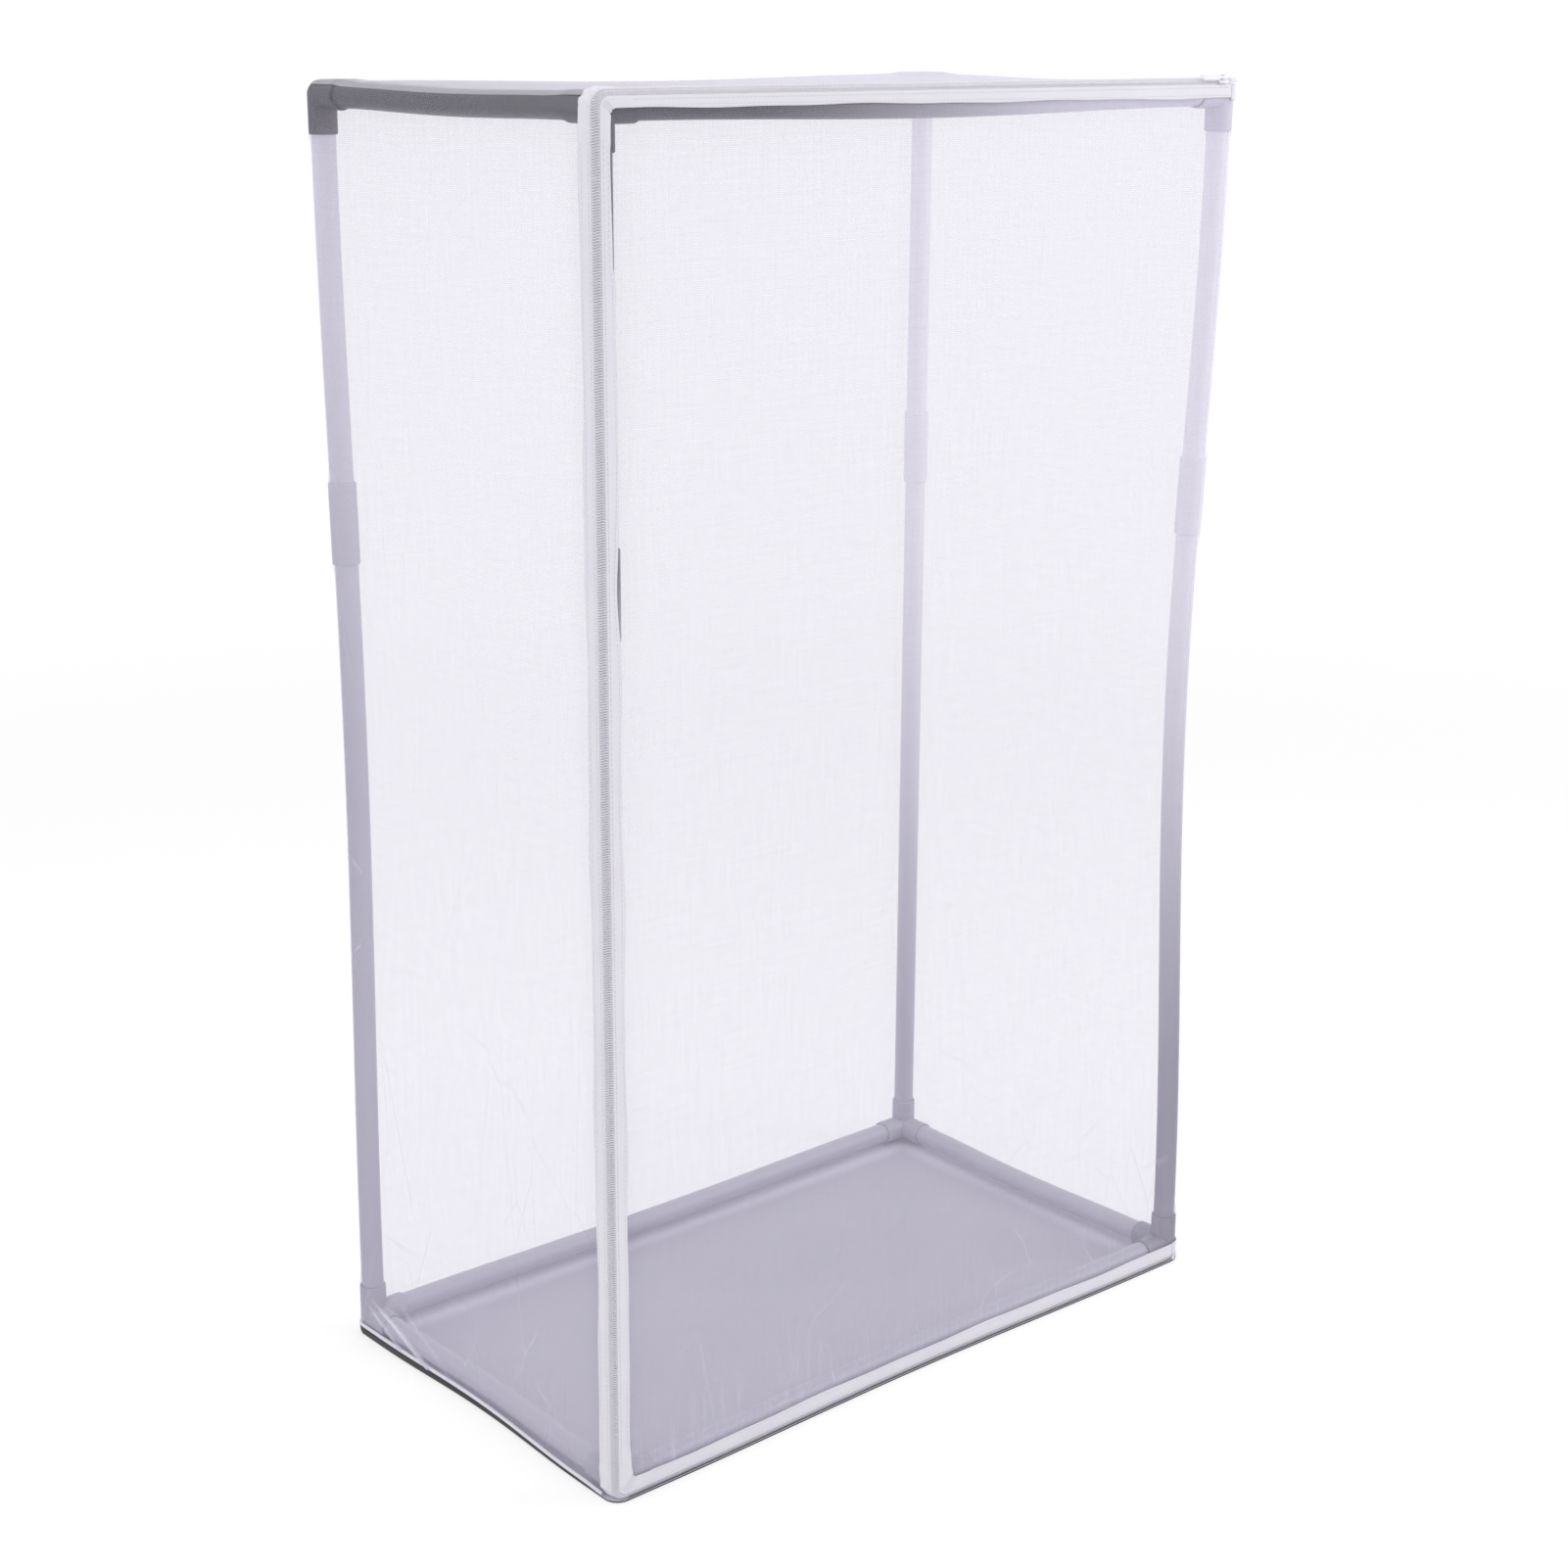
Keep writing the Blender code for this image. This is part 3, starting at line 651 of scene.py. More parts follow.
# Woven monofilament polyester mesh: white threads that let light through, with faint creases
def makeFineMesh():
    made, tree, place = newMaterial("wovenMonofilamentMesh")
    uv = place["UV"]
    marks = {key: addNode(tree, "ShaderNodeAttribute", attribute_name=key)["Fac"] for key in markNames}
    weave = weaveOf(tree, uv, cloths["threadSpacing"])
    plain, half = cloths["meshCoverage"], cloths["threadContrast"] / 2
    alpha = ranged(tree, weave, cloths["threadRange"], (plain - half, plain + half))
    streaky = operate(tree, "ADD", *[
        noiseOf(tree, stretched(tree, uv, scale), 1 / cloths["streakSpacing"], 3.0)
        for scale in ((1, cloths["streakStretch"], 1), (cloths["streakStretch"], 1, 1))])
    alpha = operate(tree, "ADD", alpha, ranged(
        tree, streaky, cloths["streakRange"], (-cloths["streakStrength"], cloths["streakStrength"])))
    creases = [creaseLines(tree, uv, *turn) for turn in cloths["creaseTurns"]]
    lines = operate(tree, "MAXIMUM", operate(tree, "MAXIMUM", *creases[:2]), creases[2])
    drawn = stretched(tree, uv, (1, cloths["gatherStretch"], 1))
    ridges = ranged(tree, noiseOf(tree, drawn, 1 / cloths["gatherSpacing"], 2.0), cloths["gatherRange"])
    for share, strength in (
        (operate(tree, "MULTIPLY", lines, marks["slack"]), cloths["creaseStrength"]),
        (operate(tree, "MULTIPLY", ridges, marks["gather"]), cloths["gatherStrength"]),
        (marks["fold"], cloths["foldStrength"]),
    ):
        alpha = operate(tree, "MULTIPLY_ADD", share, strength, alpha)
    alpha = operate(tree, "ADD", alpha, marks["dense"], clamped=True)
    doubled = ranged(tree, alpha, (plain, 3 * plain))
    tint = mixOf(tree, doubled, cloths["meshPaint"], cloths["foldPaint"])
    lit = surfaceOf(tree, tint, cloths["meshRoughness"], bumpOf(tree, weave, *cloths["meshBump"]),
                    cloths["clothGloss"])
    through = addNode(tree, "ShaderNodeBsdfTranslucent", {"Color": tint})[0]
    hole = addNode(tree, "ShaderNodeBsdfTransparent")[0]
    endIn(tree, shareOf(tree, alpha, hole, shareOf(tree, cloths["backLight"], lit, through)))
    return made


# A soft woven ribbon: ribs across it, cream to lilac white, matt
def makeTape():
    made, tree, place = newMaterial("wovenPolyesterZipTape")
    ribs = bandsOf(tree, place["UV"], cloths["tapeRib"], "X", 0.4)
    rows = bandsOf(tree, place["UV"], cloths["tapeRib"] * 2, "Y")
    weave = operate(tree, "MULTIPLY_ADD", rows, cloths["tapeRowShare"], ribs)
    tint = mixOf(tree, noiseOf(tree, place["UV"], cloths["tapePatches"], 3.0), *cloths["tapePaint"])
    bump = bumpOf(tree, weave, *cloths["tapeBump"])
    endIn(tree, surfaceOf(tree, tint, cloths["tapeRoughness"], bump, cloths["clothGloss"]))
    return made


# Coated oxford cloth: a square weave under a thin satin coat, pale on its upper face and black outside
def makeFloorFinish():
    made, tree, place = newMaterial("coatedBlackOxfordCloth")
    weave = weaveOf(tree, place["Object"], cloths["floorWeave"], 0.3)
    patches = noiseOf(tree, place["Object"], cloths["floorPatches"], 4.0)
    spot = addNode(tree, "ShaderNodeSeparateXYZ", {0: place["Object"]})
    insets = [operate(tree, "SUBTRACT", half, operate(tree, "ABSOLUTE", spot[way]))
              for way, half in (("X", halfWidth), ("Y", halfDepth))]
    # Painted light: a paler strip beside the rails lifts their shade; it also stands for the seam
    weltAndPaintedLight = ranged(tree, operate(tree, "MINIMUM", *insets), cloths["weltInset"], (1, 0), "SMOOTHSTEP")
    inside = mixOf(tree, weltAndPaintedLight, mixOf(tree, patches, *cloths["floorPaint"]), cloths["weltWithPaintedLight"])
    facing = addNode(tree, "ShaderNodeSeparateXYZ", {0: addNode(tree, "ShaderNodeNewGeometry")["Normal"]})
    upper = ranged(tree, facing["Z"], cloths["floorFacing"])
    coat = mixOf(tree, upper, cloths["undersidePaint"], inside)
    shine = ranged(tree, patches, target=cloths["floorRoughness"])
    endIn(tree, surfaceOf(tree, coat, shine, bumpOf(tree, weave, *cloths["floorBump"])))
    return made


fineMesh = makeFineMesh()
zipTape = makeTape()
floorFinish = makeFloorFinish()

cover = {
    "overlap": 5 * mm,  # how far the mesh runs under the zip's tapes
    "tapeStart": 3.975 * mm,
    "tapeEnd": 14.975 * mm,
    "underTape": 0.6 * mm,
    "onTube": 2.3 * mm,
    "onFitting": 0.95 * mm,
    "fittingCore": 4 * mm,
    "fittingAcross": 40 * mm,
    "fittingAlong": 45 * mm,
    "fittingStep": 9 * mm,
    "foot": 6.2 * mm,
    "flareInset": 0.4 * mm,
    "flareTop": 22 * mm,
    "flareLength": 16 * mm,
    "turnSteps": 10,
    "seamAngle": math.radians(45),
    "seamSteps": 6,
    "fadeTape": 25 * mm,
    # The walls' rows: from, to and how many
    "rows": ((40 * mm, 16), (850 * mm, 90), (topAxis, 20)),
    "foldArea": 130 * mm,
    # Folds low down by the back upright: back and up where each starts and ends, and its height
    "folds": (
        (24 * mm, 34 * mm, 96 * mm, 7 * mm, 1.9 * mm),
        (14 * mm, 30 * mm, 62 * mm, 8 * mm, 1.3 * mm),
        (30 * mm, 62 * mm, 120 * mm, 9 * mm, 0.8 * mm),
    ),
    "foldWidth": 2.6 * mm,
}


def nearness(distance, reach):
    return smooth(1 - distance / reach)


# How much a fitting pushes the cover out: 1 on it, 0 a little way off it
def onFitting(fromUpright, z):
    step = cover["fittingStep"]
    across = nearness(fromUpright - cover["fittingCore"], cover["fittingAcross"])
    best = nearness(max(abs(z - cage["couplingHeight"]) - cage["couplingLength"] / 2, 0), step) * across
    for level in (cage["baseAxis"], topAxis):
        up = abs(z - level)
        best = max(best, nearness(up - cage["sleeveLength"], step) * across,
                   nearness(fromUpright - cage["sleeveLength"], step) * nearness(up, cover["fittingAlong"]))
    return best


def coverRadius(fromUpright, z, fromZip):
    pressed = cover["onTube"] + (cover["onFitting"] - cover["onTube"]) * onFitting(fromUpright, z)
    inset = cover["underTape"] + (pressed - cover["underTape"]) * smooth(fromZip / cover["fadeTape"])
    return axisInset - inset


# Gives a cloth its thickness, inwards
def thicken(piece, thickness):
    body = piece.modifiers.new("thickness", "SOLIDIFY")
    body.thickness = thickness
    body.offset = -1
    solid = evaluatedMesh(piece)
    piece.modifiers.clear()
    piece.data = solid


# A sheet over a grid of distances, in metres, with those distances as its UV map
def clothSheet(name, columns, rows, place, thickness, finish, marks=None):
    bm = bmesh.new()
    flat = bm.loops.layers.uv.new("UVMap")
    layers = {key: bm.verts.layers.float.new(key) for key in markNames}
    spots = []
    for v in rows:
        line = []
        for u in columns:
            spot = bm.verts.new(place(u, v))
            for key, layer in layers.items():
                spot[layer] = marks(u, v)[key] if marks else 0
            line.append(spot)
        spots.append(line)
    for i in range(len(rows) - 1):
        for j in range(len(columns) - 1):
            around = ((i, j), (i, j + 1), (i + 1, j + 1), (i + 1, j))
            face = bm.faces.new([spots[a][b] for a, b in around])
            for loop, (a, b) in zip(face.loops, around):
                loop[flat].uv = (columns[b], rows[a])
    bm.normal_update()
    middle = Vector((0, 0, cage["height"] / 2))
    if sum((face.calc_center_median() - middle).dot(face.normal) for face in bm.faces) < 0:
        bmesh.ops.reverse_faces(bm, faces=bm.faces)
    mesh = meshFrom(bm, name)
    mesh.shade_smooth()
    made = addPiece(name, mesh, finish)
    thicken(made, thickness)
    return made


# What the mesh's finish reads at each point: creases, gathers, folded cloth and extra cover
def marksFor(slackAt, gatherAt=lambda u, v: 0, foldAt=lambda u, v: 0, dense=0.0):
    return lambda u, v: dict(zip(markNames, (slackAt(u, v), gatherAt(u, v), foldAt(u, v), dense)))


# How far a wall turns over the top rail, how far it stands out at its foot, and its height
def wallProfile(radius, v):
    over = clamp((v - topAxis) / radius, 0, cover["seamAngle"])
    widest = axisInset - cover["flareInset"] - radius
    flare = smooth((cover["flareTop"] - v) / cover["flareLength"]) * widest
    return (radius + flare) * math.cos(over), min(v, topAxis) + radius * math.sin(over)


# A wall goes along one side and round its back corner, and over the top rail to the seam.
# Its distances count from the front edge of the cage and up from the floor.
def wallSpot(side, u, v, lift=0):
    run = cage["depth"] - axisInset
    fromFront, fromBack = u - axisInset, run - u
    upright = min(abs(fromFront), abs(fromBack)) if u < run else 0
    fromZip = u - cover["tapeEnd"] + cover["overlap"] if side < 0 else 1
    radius = coverRadius(upright, min(v, topAxis), fromZip)
    out, z = wallProfile(radius, v)
    edge = -fromBack / axisInset if u > run else 0
    centre = Vector((halfWidth - axisInset, min(u, run) - halfDepth))
    if side > 0 and u < axisInset:
        edge = fromFront / axisInset
        centre.y = axisInset - halfDepth
    spot = centre + Vector((math.cos(edge), math.sin(edge))) * (out + lift)
    return drawnIn(side * spot.x, spot.y, z)


def wallRows():
    rows = [cover["foot"]]
    for end, steps in cover["rows"]:
        rows += spaced(rows[-1], end, steps)[1:]
    top = topAxis + (axisInset - cover["onTube"]) * cover["seamAngle"]
    return rows + spaced(topAxis, top, cover["seamSteps"])[1:]


# Slanting folds that a pulled corner leaves in the left wall
def cornerFolds(u, v):
    spot = Vector((cage["depth"] - u, v))
    total = 0
    for startBack, startUp, endBack, endUp, height in cover["folds"]:
        start, end = Vector((startBack, startUp)), Vector((endBack, endUp))
        way = end - start
        share = clamp((spot - start).dot(way) / way.length_squared)
        away = (spot - start.lerp(end, share)).length
        total += height * math.exp(-(away / cover["foldWidth"]) ** 2) * (0.35 + 0.65 * smooth(share * 3))
    return total


# Where the left wall lies slack: beside the back upright and low down
def leftSlack(u, v):
    nearBack = nearness(cage["depth"] - axisInset - u, 26 * mm)
    band = smooth((v - 200 * mm) / (100 * mm)) * smooth((660 * mm - v) / (80 * mm))
    low = smooth((300 * mm - v) / (200 * mm))
    return clamp(0.12 + nearBack * (0.35 + 0.9 * band) + 0.5 * low)


def makeWalls():
    run = cage["depth"] - axisInset
    start = cover["tapeEnd"] - cover["overlap"]
    rows = wallRows()
    bend = spaced(run, run + quarterTurn, cover["turnSteps"])[1:]
    highest = cover["folds"][0][-1]

    left = spaced(start, run - cover["foldArea"], 28) + spaced(run - cover["foldArea"], run, 52)[1:] + bend
    leftMarks = marksFor(leftSlack, foldAt=lambda u, v: clamp(cornerFolds(u, v) / highest) ** 2)
    leftWall = clothSheet("leftWallMesh", left, rows, lambda u, v: wallSpot(-1, u, v, cornerFolds(u, v)),
                          cloths["thickness"], fineMesh, leftMarks)

    wrap = spaced(axisInset - quarterTurn, axisInset, cover["turnSteps"])
    right = wrap + spaced(axisInset, run, 50)[1:] + bend
    rightMarks = marksFor(lambda u, v: 0.06 + 0.2 * smooth((200 * mm - v) / (200 * mm)))
    rightWall = clothSheet("rightWallMesh", right, rows, lambda u, v: wallSpot(1, u, v),
                           cloths["thickness"], fineMesh, rightMarks)

    reach = halfWidth - axisInset

    def backSpot(x, v):
        out, z = wallProfile(coverRadius(reach - abs(x), min(v, topAxis), 1), v)
        return drawnIn(x, halfDepth - axisInset + out, z)

    backWall = clothSheet("backWallMesh", spaced(-reach, reach, 90), rows, backSpot,
                          cloths["thickness"], fineMesh, marksFor(lambda u, v: 0.06))
    for piece, node, wide, way in ((leftWall, "mesh_left", left[-1] - left[0], "Left"),
                                   (rightWall, "mesh_right", right[-1] - right[0], "Right"),
                                   (backWall, "mesh_back", 2 * reach, "Back")):
        dressFrame(piece, node)


# The top: flat but for its sag, and carried down over three rails to the seam
def makeTop():
    reachX, reachY = halfWidth - axisInset, halfDepth - axisInset
    seam = math.pi / 2 - cover["seamAngle"]
    arc = (axisInset - cover["onTube"]) * seam
    front = cover["tapeEnd"] - cover["overlap"] - halfDepth
    xs = [-reachX - arc * share for share in spaced(1, 0, cover["seamSteps"])] \
        + spaced(-reachX, reachX, 60)[1:] \
        + [reachX + arc * share for share in spaced(0, 1, cover["seamSteps"])[1:]]
    ys = spaced(front, reachY, 40) + [reachY + arc * share for share in spaced(0, 1, cover["seamSteps"])[1:]]

    def topSpot(x, y):
        inX, inY = clamp(reachX - abs(x)), clamp(reachY - abs(y))
        radius = coverRadius(inX + inY, topAxis, y - front)
        out = Vector((math.copysign(max(abs(x) - reachX, 0), x), max(y - reachY, 0)))
        if out.length == 0:
            return drawnIn(x, y, topAxis + radius)
        angle = min(out.length / arc, 1) * seam
        out = out.normalized() * radius * math.sin(angle)
        return drawnIn(clamp(x, -reachX, reachX) + out.x, min(y, reachY) + out.y,
                       topAxis + radius * math.cos(angle))

    top = clothSheet("topMesh", xs, ys, topSpot, cloths["thickness"], fineMesh,
                     marksFor(lambda u, v: 0.1, dense=cloths["topDensity"]))
    dressFrame(top, "mesh_top")


# Bakes a piece's place into its mesh, where it stays; nothing joins it to the frame or the door
def followDoor(piece):
    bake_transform(piece)


def makeDoor():
    edge = cover["tapeEnd"] - cover["overlap"]
    low, high = cage["baseTop"] + edge, cage["height"] - edge
    strip, bottom = 30 * mm, 60 * mm
    xs = spaced(edge - halfWidth, hingeX - strip, 84) + spaced(hingeX - strip, hingeX, 16)[1:]
    zs = spaced(low, low + bottom, 24) + spaced(low + bottom, high - strip, 96)[1:] \
        + spaced(high - strip, high, 8)[1:]

    def doorSpot(x, z):
        fromZip = min(x + halfWidth - edge, z - low, high - z)
        return drawnIn(x, axisInset - halfDepth - coverRadius(hingeX - x, z, fromZip), z)

    def slack(x, z):
        return 0.05 + 0.6 * smooth((170 * mm - z) / (130 * mm))

    def gather(x, z):
        return smooth((low + 75 * mm - z) / (70 * mm)) * (0.35 + 0.65 * smooth((120 * mm - x) / (250 * mm)))

    door = clothSheet("doorMesh", xs, zs, doorSpot, cloths["thickness"], fineMesh, marksFor(slack, gather))
    followDoor(door)
    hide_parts("door_mesh")


makeWalls()
makeTop()
makeDoor()
print("mesh cover ready")

# The zip, along the bottom edge from the right, up the left edge and back along the top
zipper = {
    "frameTapeEnd": 277.5 * mm,
    "doorTapeEnd": 268.9 * mm,
    "frameCoilEnd": 269.5 * mm,
    "doorCoilEnd": 266.6 * mm,
    "nearInset": 0.825 * mm,
    "farInset": 2.875 * mm,
    "tapeWidth": 11 * mm,
    "innerRadius": 4 * mm,
    "tapeStep": 5 * mm,
    # The tape's edge under the coil: how far from its own face of the cage's edge, then from the other's
    "underCoil": ((2.56 * mm, 2.44 * mm), (3.0 * mm, 2.0 * mm), (3.5 * mm, 1.5 * mm), (3.85 * mm, 0.7 * mm)),
    "tapeRows": (0, 1.2 * mm, 2.6 * mm, 4.6 * mm, 6.8 * mm, 8.6 * mm, 10 * mm, 11 * mm),
    "drawnUnder": 3.8 * mm,
    "sideWave": 23 * mm,
    "topReach": 95 * mm,
    "topStep": 15 * mm,
    "wave": 1.3 * mm,
    "waveLengths": (31 * mm, 13 * mm),
    "ripple": 0.35 * mm,
    "cornerCrinkle": 1.2 * mm,
    "crinkleReach": 14 * mm,
    "crinkleLength": 6.5 * mm,
    "endGap": 0.3 * mm,
    "toothPitch": 1.6 * mm,
    "wireRadius": 0.37 * mm,
    "wireFacets": 5,
    "toothLean": 0.12 * mm,
    "loopHalfHeight": 0.5 * mm,
    "loopBack": 0.5 * mm,
    "loopHead": 1.7 * mm,
    "stitchPitch": 3.4 * mm,
    "stitchLength": 2.5 * mm,
    "stitchRadius": 0.26 * mm,
    "stitchLift": 0.12 * mm,
    "stitchRows": (2.2 * mm, 9.0 * mm),
    "stitchInset": 1.7 * mm,
    "stitchTilt": 0.05,
    "nylonPaint": ("#f1effa", "#fdfbff"),
    "nylonClouds": 180.0,
    "nylonRoughness": (0.28, 0.42),
    "nylonBump": (0.15, 0.05 * mm),
    "threadPaint": ("#dddbe6", "#f6f4fa"),
    "threadTwist": 0.6 * mm,
    "threadRoughness": 0.65,
    "threadBump": (0.4, 0.08 * mm),
    "threadGloss": 0.1,
}


# The lengths of the zip's bottom or top run, of the turn at a corner and of the run up the side
def zipRuns(end):
    return end + halfWidth - axisInset, quarterTurn, cage["height"] - cage["baseTop"] - 2 * axisInset


# A point on the zip's line: u along it, the inset from the front's outline, the depth behind the front
def zipSpot(u, inset, depth, end):
    flat, turn, upward = zipRuns(end)
    radius = max(axisInset - inset, zipper["innerRadius"] if inset > zipper["farInset"] else 0)
    centre = inset + radius
    left, low, high = -halfWidth + centre, cage["baseTop"] + centre, cage["height"] - centre
    if u <= flat:
        x, z = end + (left - end) * u / flat, low - radius
    elif u <= flat + turn:
        angle = (u - flat) / axisInset
        x, z = left - radius * math.sin(angle), low - radius * math.cos(angle)
    elif u <= flat + turn + upward:
        x, z = left - radius, low + (high - low) * (u - flat - turn) / upward
    elif u <= flat + 2 * turn + upward:
        angle = (u - flat - turn - upward) / axisInset
        x, z = left - radius * math.cos(angle), high + radius * math.sin(angle)
    else:
        x, z = left + (end - left) * (u - flat - 2 * turn - upward) / flat, high + radius
    return drawnIn(x, depth - halfDepth, z)


def zipDistances(end, step):
    flat, turn, upward = zipRuns(end)
    places = [0]
    for run in (flat, turn, upward, turn, flat):
        small = step if run > turn else step / 3
        places += spaced(places[-1], places[-1] + run, max(round(run / small), 1))[1:]
    return places


# A slow wander and, at the corners, a short crinkle, as shares of their full height
def tapeWander(u, shift):
    slow, quick = zipper["waveLengths"]
    return (math.sin(u / slow + shift) + 0.6 * math.sin(u / quick + 2 * shift)) / 1.6


def tapeCrinkle(u, end):
    flat, turn, upward = zipRuns(end)
    near = sum(math.exp(-((u - corner) / zipper["crinkleReach"]) ** 2)
               for corner in (flat + turn / 2, flat + turn * 1.5 + upward))
    return near * math.sin(2 * math.pi * u / zipper["crinkleLength"])


# How much of the door's tape shows: it is drawn under along the top and beside the coupling
def doorTapeWidth(u):
    flat, turn, upward = zipRuns(zipper["doorTapeEnd"])
    up = u - flat - turn
    along = clamp((up - upward - turn) / flat)
    side = 0.5 + 0.5 * math.sin(up / zipper["sideWave"]) if 0 < up < upward else 0
    beside = (up + cage["baseTop"] + axisInset - cage["couplingHeight"]) / cage["couplingLength"]
    top = smooth((up - upward + zipper["topReach"]) / zipper["topStep"]) * (1 - 0.6 * smooth(along))
    under = zipper["drawnUnder"] * (0.2 + 0.3 * side + 0.45 * math.exp(-(2 * beside) ** 2) + 0.8 * top)
    return zipper["tapeWidth"] - min(under, zipper["drawnUnder"])


# How a tape strays at a distance from its coil: along its face, and off it
def tapeStray(u, v, end, shift):
    share = v / zipper["tapeWidth"]
    crinkle = tapeCrinkle(u, end)
    aside = zipper["wave"] * tapeWander(u, shift) * share ** 2
    lift = (0.5 + 0.5 * tapeWander(u, shift + 2)) * share ** 2 * zipper["ripple"]
    if abs(crinkle) > 0.02:
        lift += zipper["cornerCrinkle"] * (0.5 + 0.5 * crinkle) * smooth(share * 2)
    return aside, lift


def makeTapes():
    width, start = zipper["tapeWidth"], cover["tapeStart"]
    behind = {near - far: (near, far) for near, far in zipper["underCoil"]}
    rows = [*behind, *zipper["tapeRows"]]

    def frameSpot(u, v):
        end = zipper["frameTapeEnd"]
        if v in behind:
            return zipSpot(u, behind[v][1], behind[v][0], end)
        aside, lift = tapeStray(u, v, end, 0.4)
        if u < zipRuns(end)[0] / 1.02:
            lift = 0  # the bottom run lies flat on the floor's edge
        return zipSpot(u, -lift, start + v + aside, end)

    def doorSpot(u, v):
        end = zipper["doorTapeEnd"]
        if v in behind:
            return zipSpot(u, *behind[v], end)
        aside, lift = tapeStray(u, v, end, 2.1)
        return zipSpot(u, start + v * doorTapeWidth(u) / width + aside / 2, -lift, end)

    made = []
    for name, node, end, place in (("frameTape", "zip_tape_frame", zipper["frameTapeEnd"], frameSpot),
                                   ("doorTape", "zip_tape_door", zipper["doorTapeEnd"], doorSpot)):
        places = zipDistances(end, zipper["tapeStep"])
        tape = clothSheet(name, places, rows, place, cloths["tapeThickness"], zipTape)
        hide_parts(node)
        made.append((tape, places[-1]))

    # The short pieces that carry the tape on round the front right corner
    long = quarterTurn - zipper["endGap"]
    for name, node, bottom, corner in (
        ("tapeEndTop", "zip_tape_end_top", cage["height"] - start - width, "cornerTopFrontRight"),
        ("tapeEndBase", "zip_tape_end_base", cage["baseTop"] + start, "cornerBaseFrontRight"),
    ):

        def endSpot(u, v, low=bottom):
            angle = u / axisInset
            return drawnIn(hingeX + axisInset * math.sin(angle),
                           axisInset - halfDepth - axisInset * math.cos(angle), low + v)

        piece = clothSheet(name, spaced(0, long, 10), spaced(0, width, 5), endSpot,
                           cloths["tapeThickness"], zipTape)
        dressFrame(piece, node)
    return made


# Geometry nodes: one small mesh on each point of a line, its Y axis set across the line
def makeRepeatTree():
    tree = bpy.data.node_groups.new("repeatAlongLine", "GeometryNodeTree")
    wanted = (("Line", "Geometry"), ("Copy", "Object"), ("Facing", "Vector"), ("Across", "Float"),
              ("Along Facing", "Float"), ("Tilt", "Float"), ("Seed", "Int"), ("Finish", "Material"))
    sockets = {}
    for name, kind in wanted:
        made = tree.interface.new_socket(name, in_out="INPUT", socket_type="NodeSocket" + kind)
        sockets[name] = made.identifier
    tree.interface.new_socket("Geometry", in_out="OUTPUT", socket_type="NodeSocketGeometry")

    def add(kind, inputs=None, **settings):
        return addNode(tree, kind, inputs, **settings)

    given = add("NodeGroupInput")
    tangent = add("GeometryNodeInputTangent")[0]
    side = add("ShaderNodeVectorMath", {0: given["Facing"], 1: tangent}, operation="CROSS_PRODUCT")[0]
    parts = [add("ShaderNodeVectorMath", {0: way, "Scale": given[size]}, operation="SCALE")[0]
             for way, size in ((side, "Across"), (given["Facing"], "Along Facing"))]
    head = add("ShaderNodeVectorMath", dict(enumerate(parts)), operation="ADD")[0]
    turned = add("FunctionNodeAxesToRotation", {0: tangent, 1: head}, primary_axis="X", secondary_axis="Y")[0]
    chance = add("FunctionNodeRandomValue", {
        "Min": operate(tree, "MULTIPLY", given["Tilt"], -1), "Max": given["Tilt"], "Seed": given["Seed"],
    }, data_type="FLOAT")[1]
    lean = add("FunctionNodeAxisAngleToRotation", {"Axis": (0, 0, 1), "Angle": chance})[0]
    both = add("FunctionNodeRotateRotation", {0: turned, 1: lean}, rotation_space="LOCAL")[0]
    copy = add("GeometryNodeObjectInfo", {"Object": given["Copy"]})["Geometry"]
    placed = add("GeometryNodeInstanceOnPoints", {
        "Points": given["Line"], "Instance": copy, "Rotation": both})[0]
    real = add("GeometryNodeRealizeInstances", {0: placed})[0]
    painted = add("GeometryNodeSetMaterial", {"Geometry": real, "Material": given["Finish"]})[0]
    add("NodeGroupOutput", {0: painted})
    return tree, sockets


repeatTree, repeatSockets = makeRepeatTree()


# Copies of a small mesh on the points of some lines, as one mesh
def repeatAlong(name, lines, unit, finish, across, alongFacing, tilt=0.0):
    shape = bpy.data.curves.new(name, "CURVE")
    shape.dimensions = "3D"
    for line in lines:
        spline = shape.splines.new("POLY")
        spline.points.add(len(line) - 1)
        for point, spot in zip(spline.points, line):
            point.co = (*spot, 1)
    carrier = bpy.data.objects.new(name + "Line", shape)
    source = bpy.data.objects.new(name + "Unit", unit)
    for thing in (carrier, source):
        bpy.context.scene.collection.objects.link(thing)
    nodes = carrier.modifiers.new("repeat", "NODES")
    nodes.node_group = repeatTree
    for key, value in (("Copy", source), ("Facing", (0, 1, 0)), ("Across", across),
                       ("Along Facing", alongFacing), ("Tilt", tilt), ("Seed", 7), ("Finish", finish)):
        nodes[repeatSockets[key]] = value
    mesh = evaluatedMesh(carrier)
    for thing in (carrier, source):
        bpy.data.objects.remove(thing)
    mesh.name = name
    mesh.shade_smooth()
    return addPiece(name, mesh, finish)


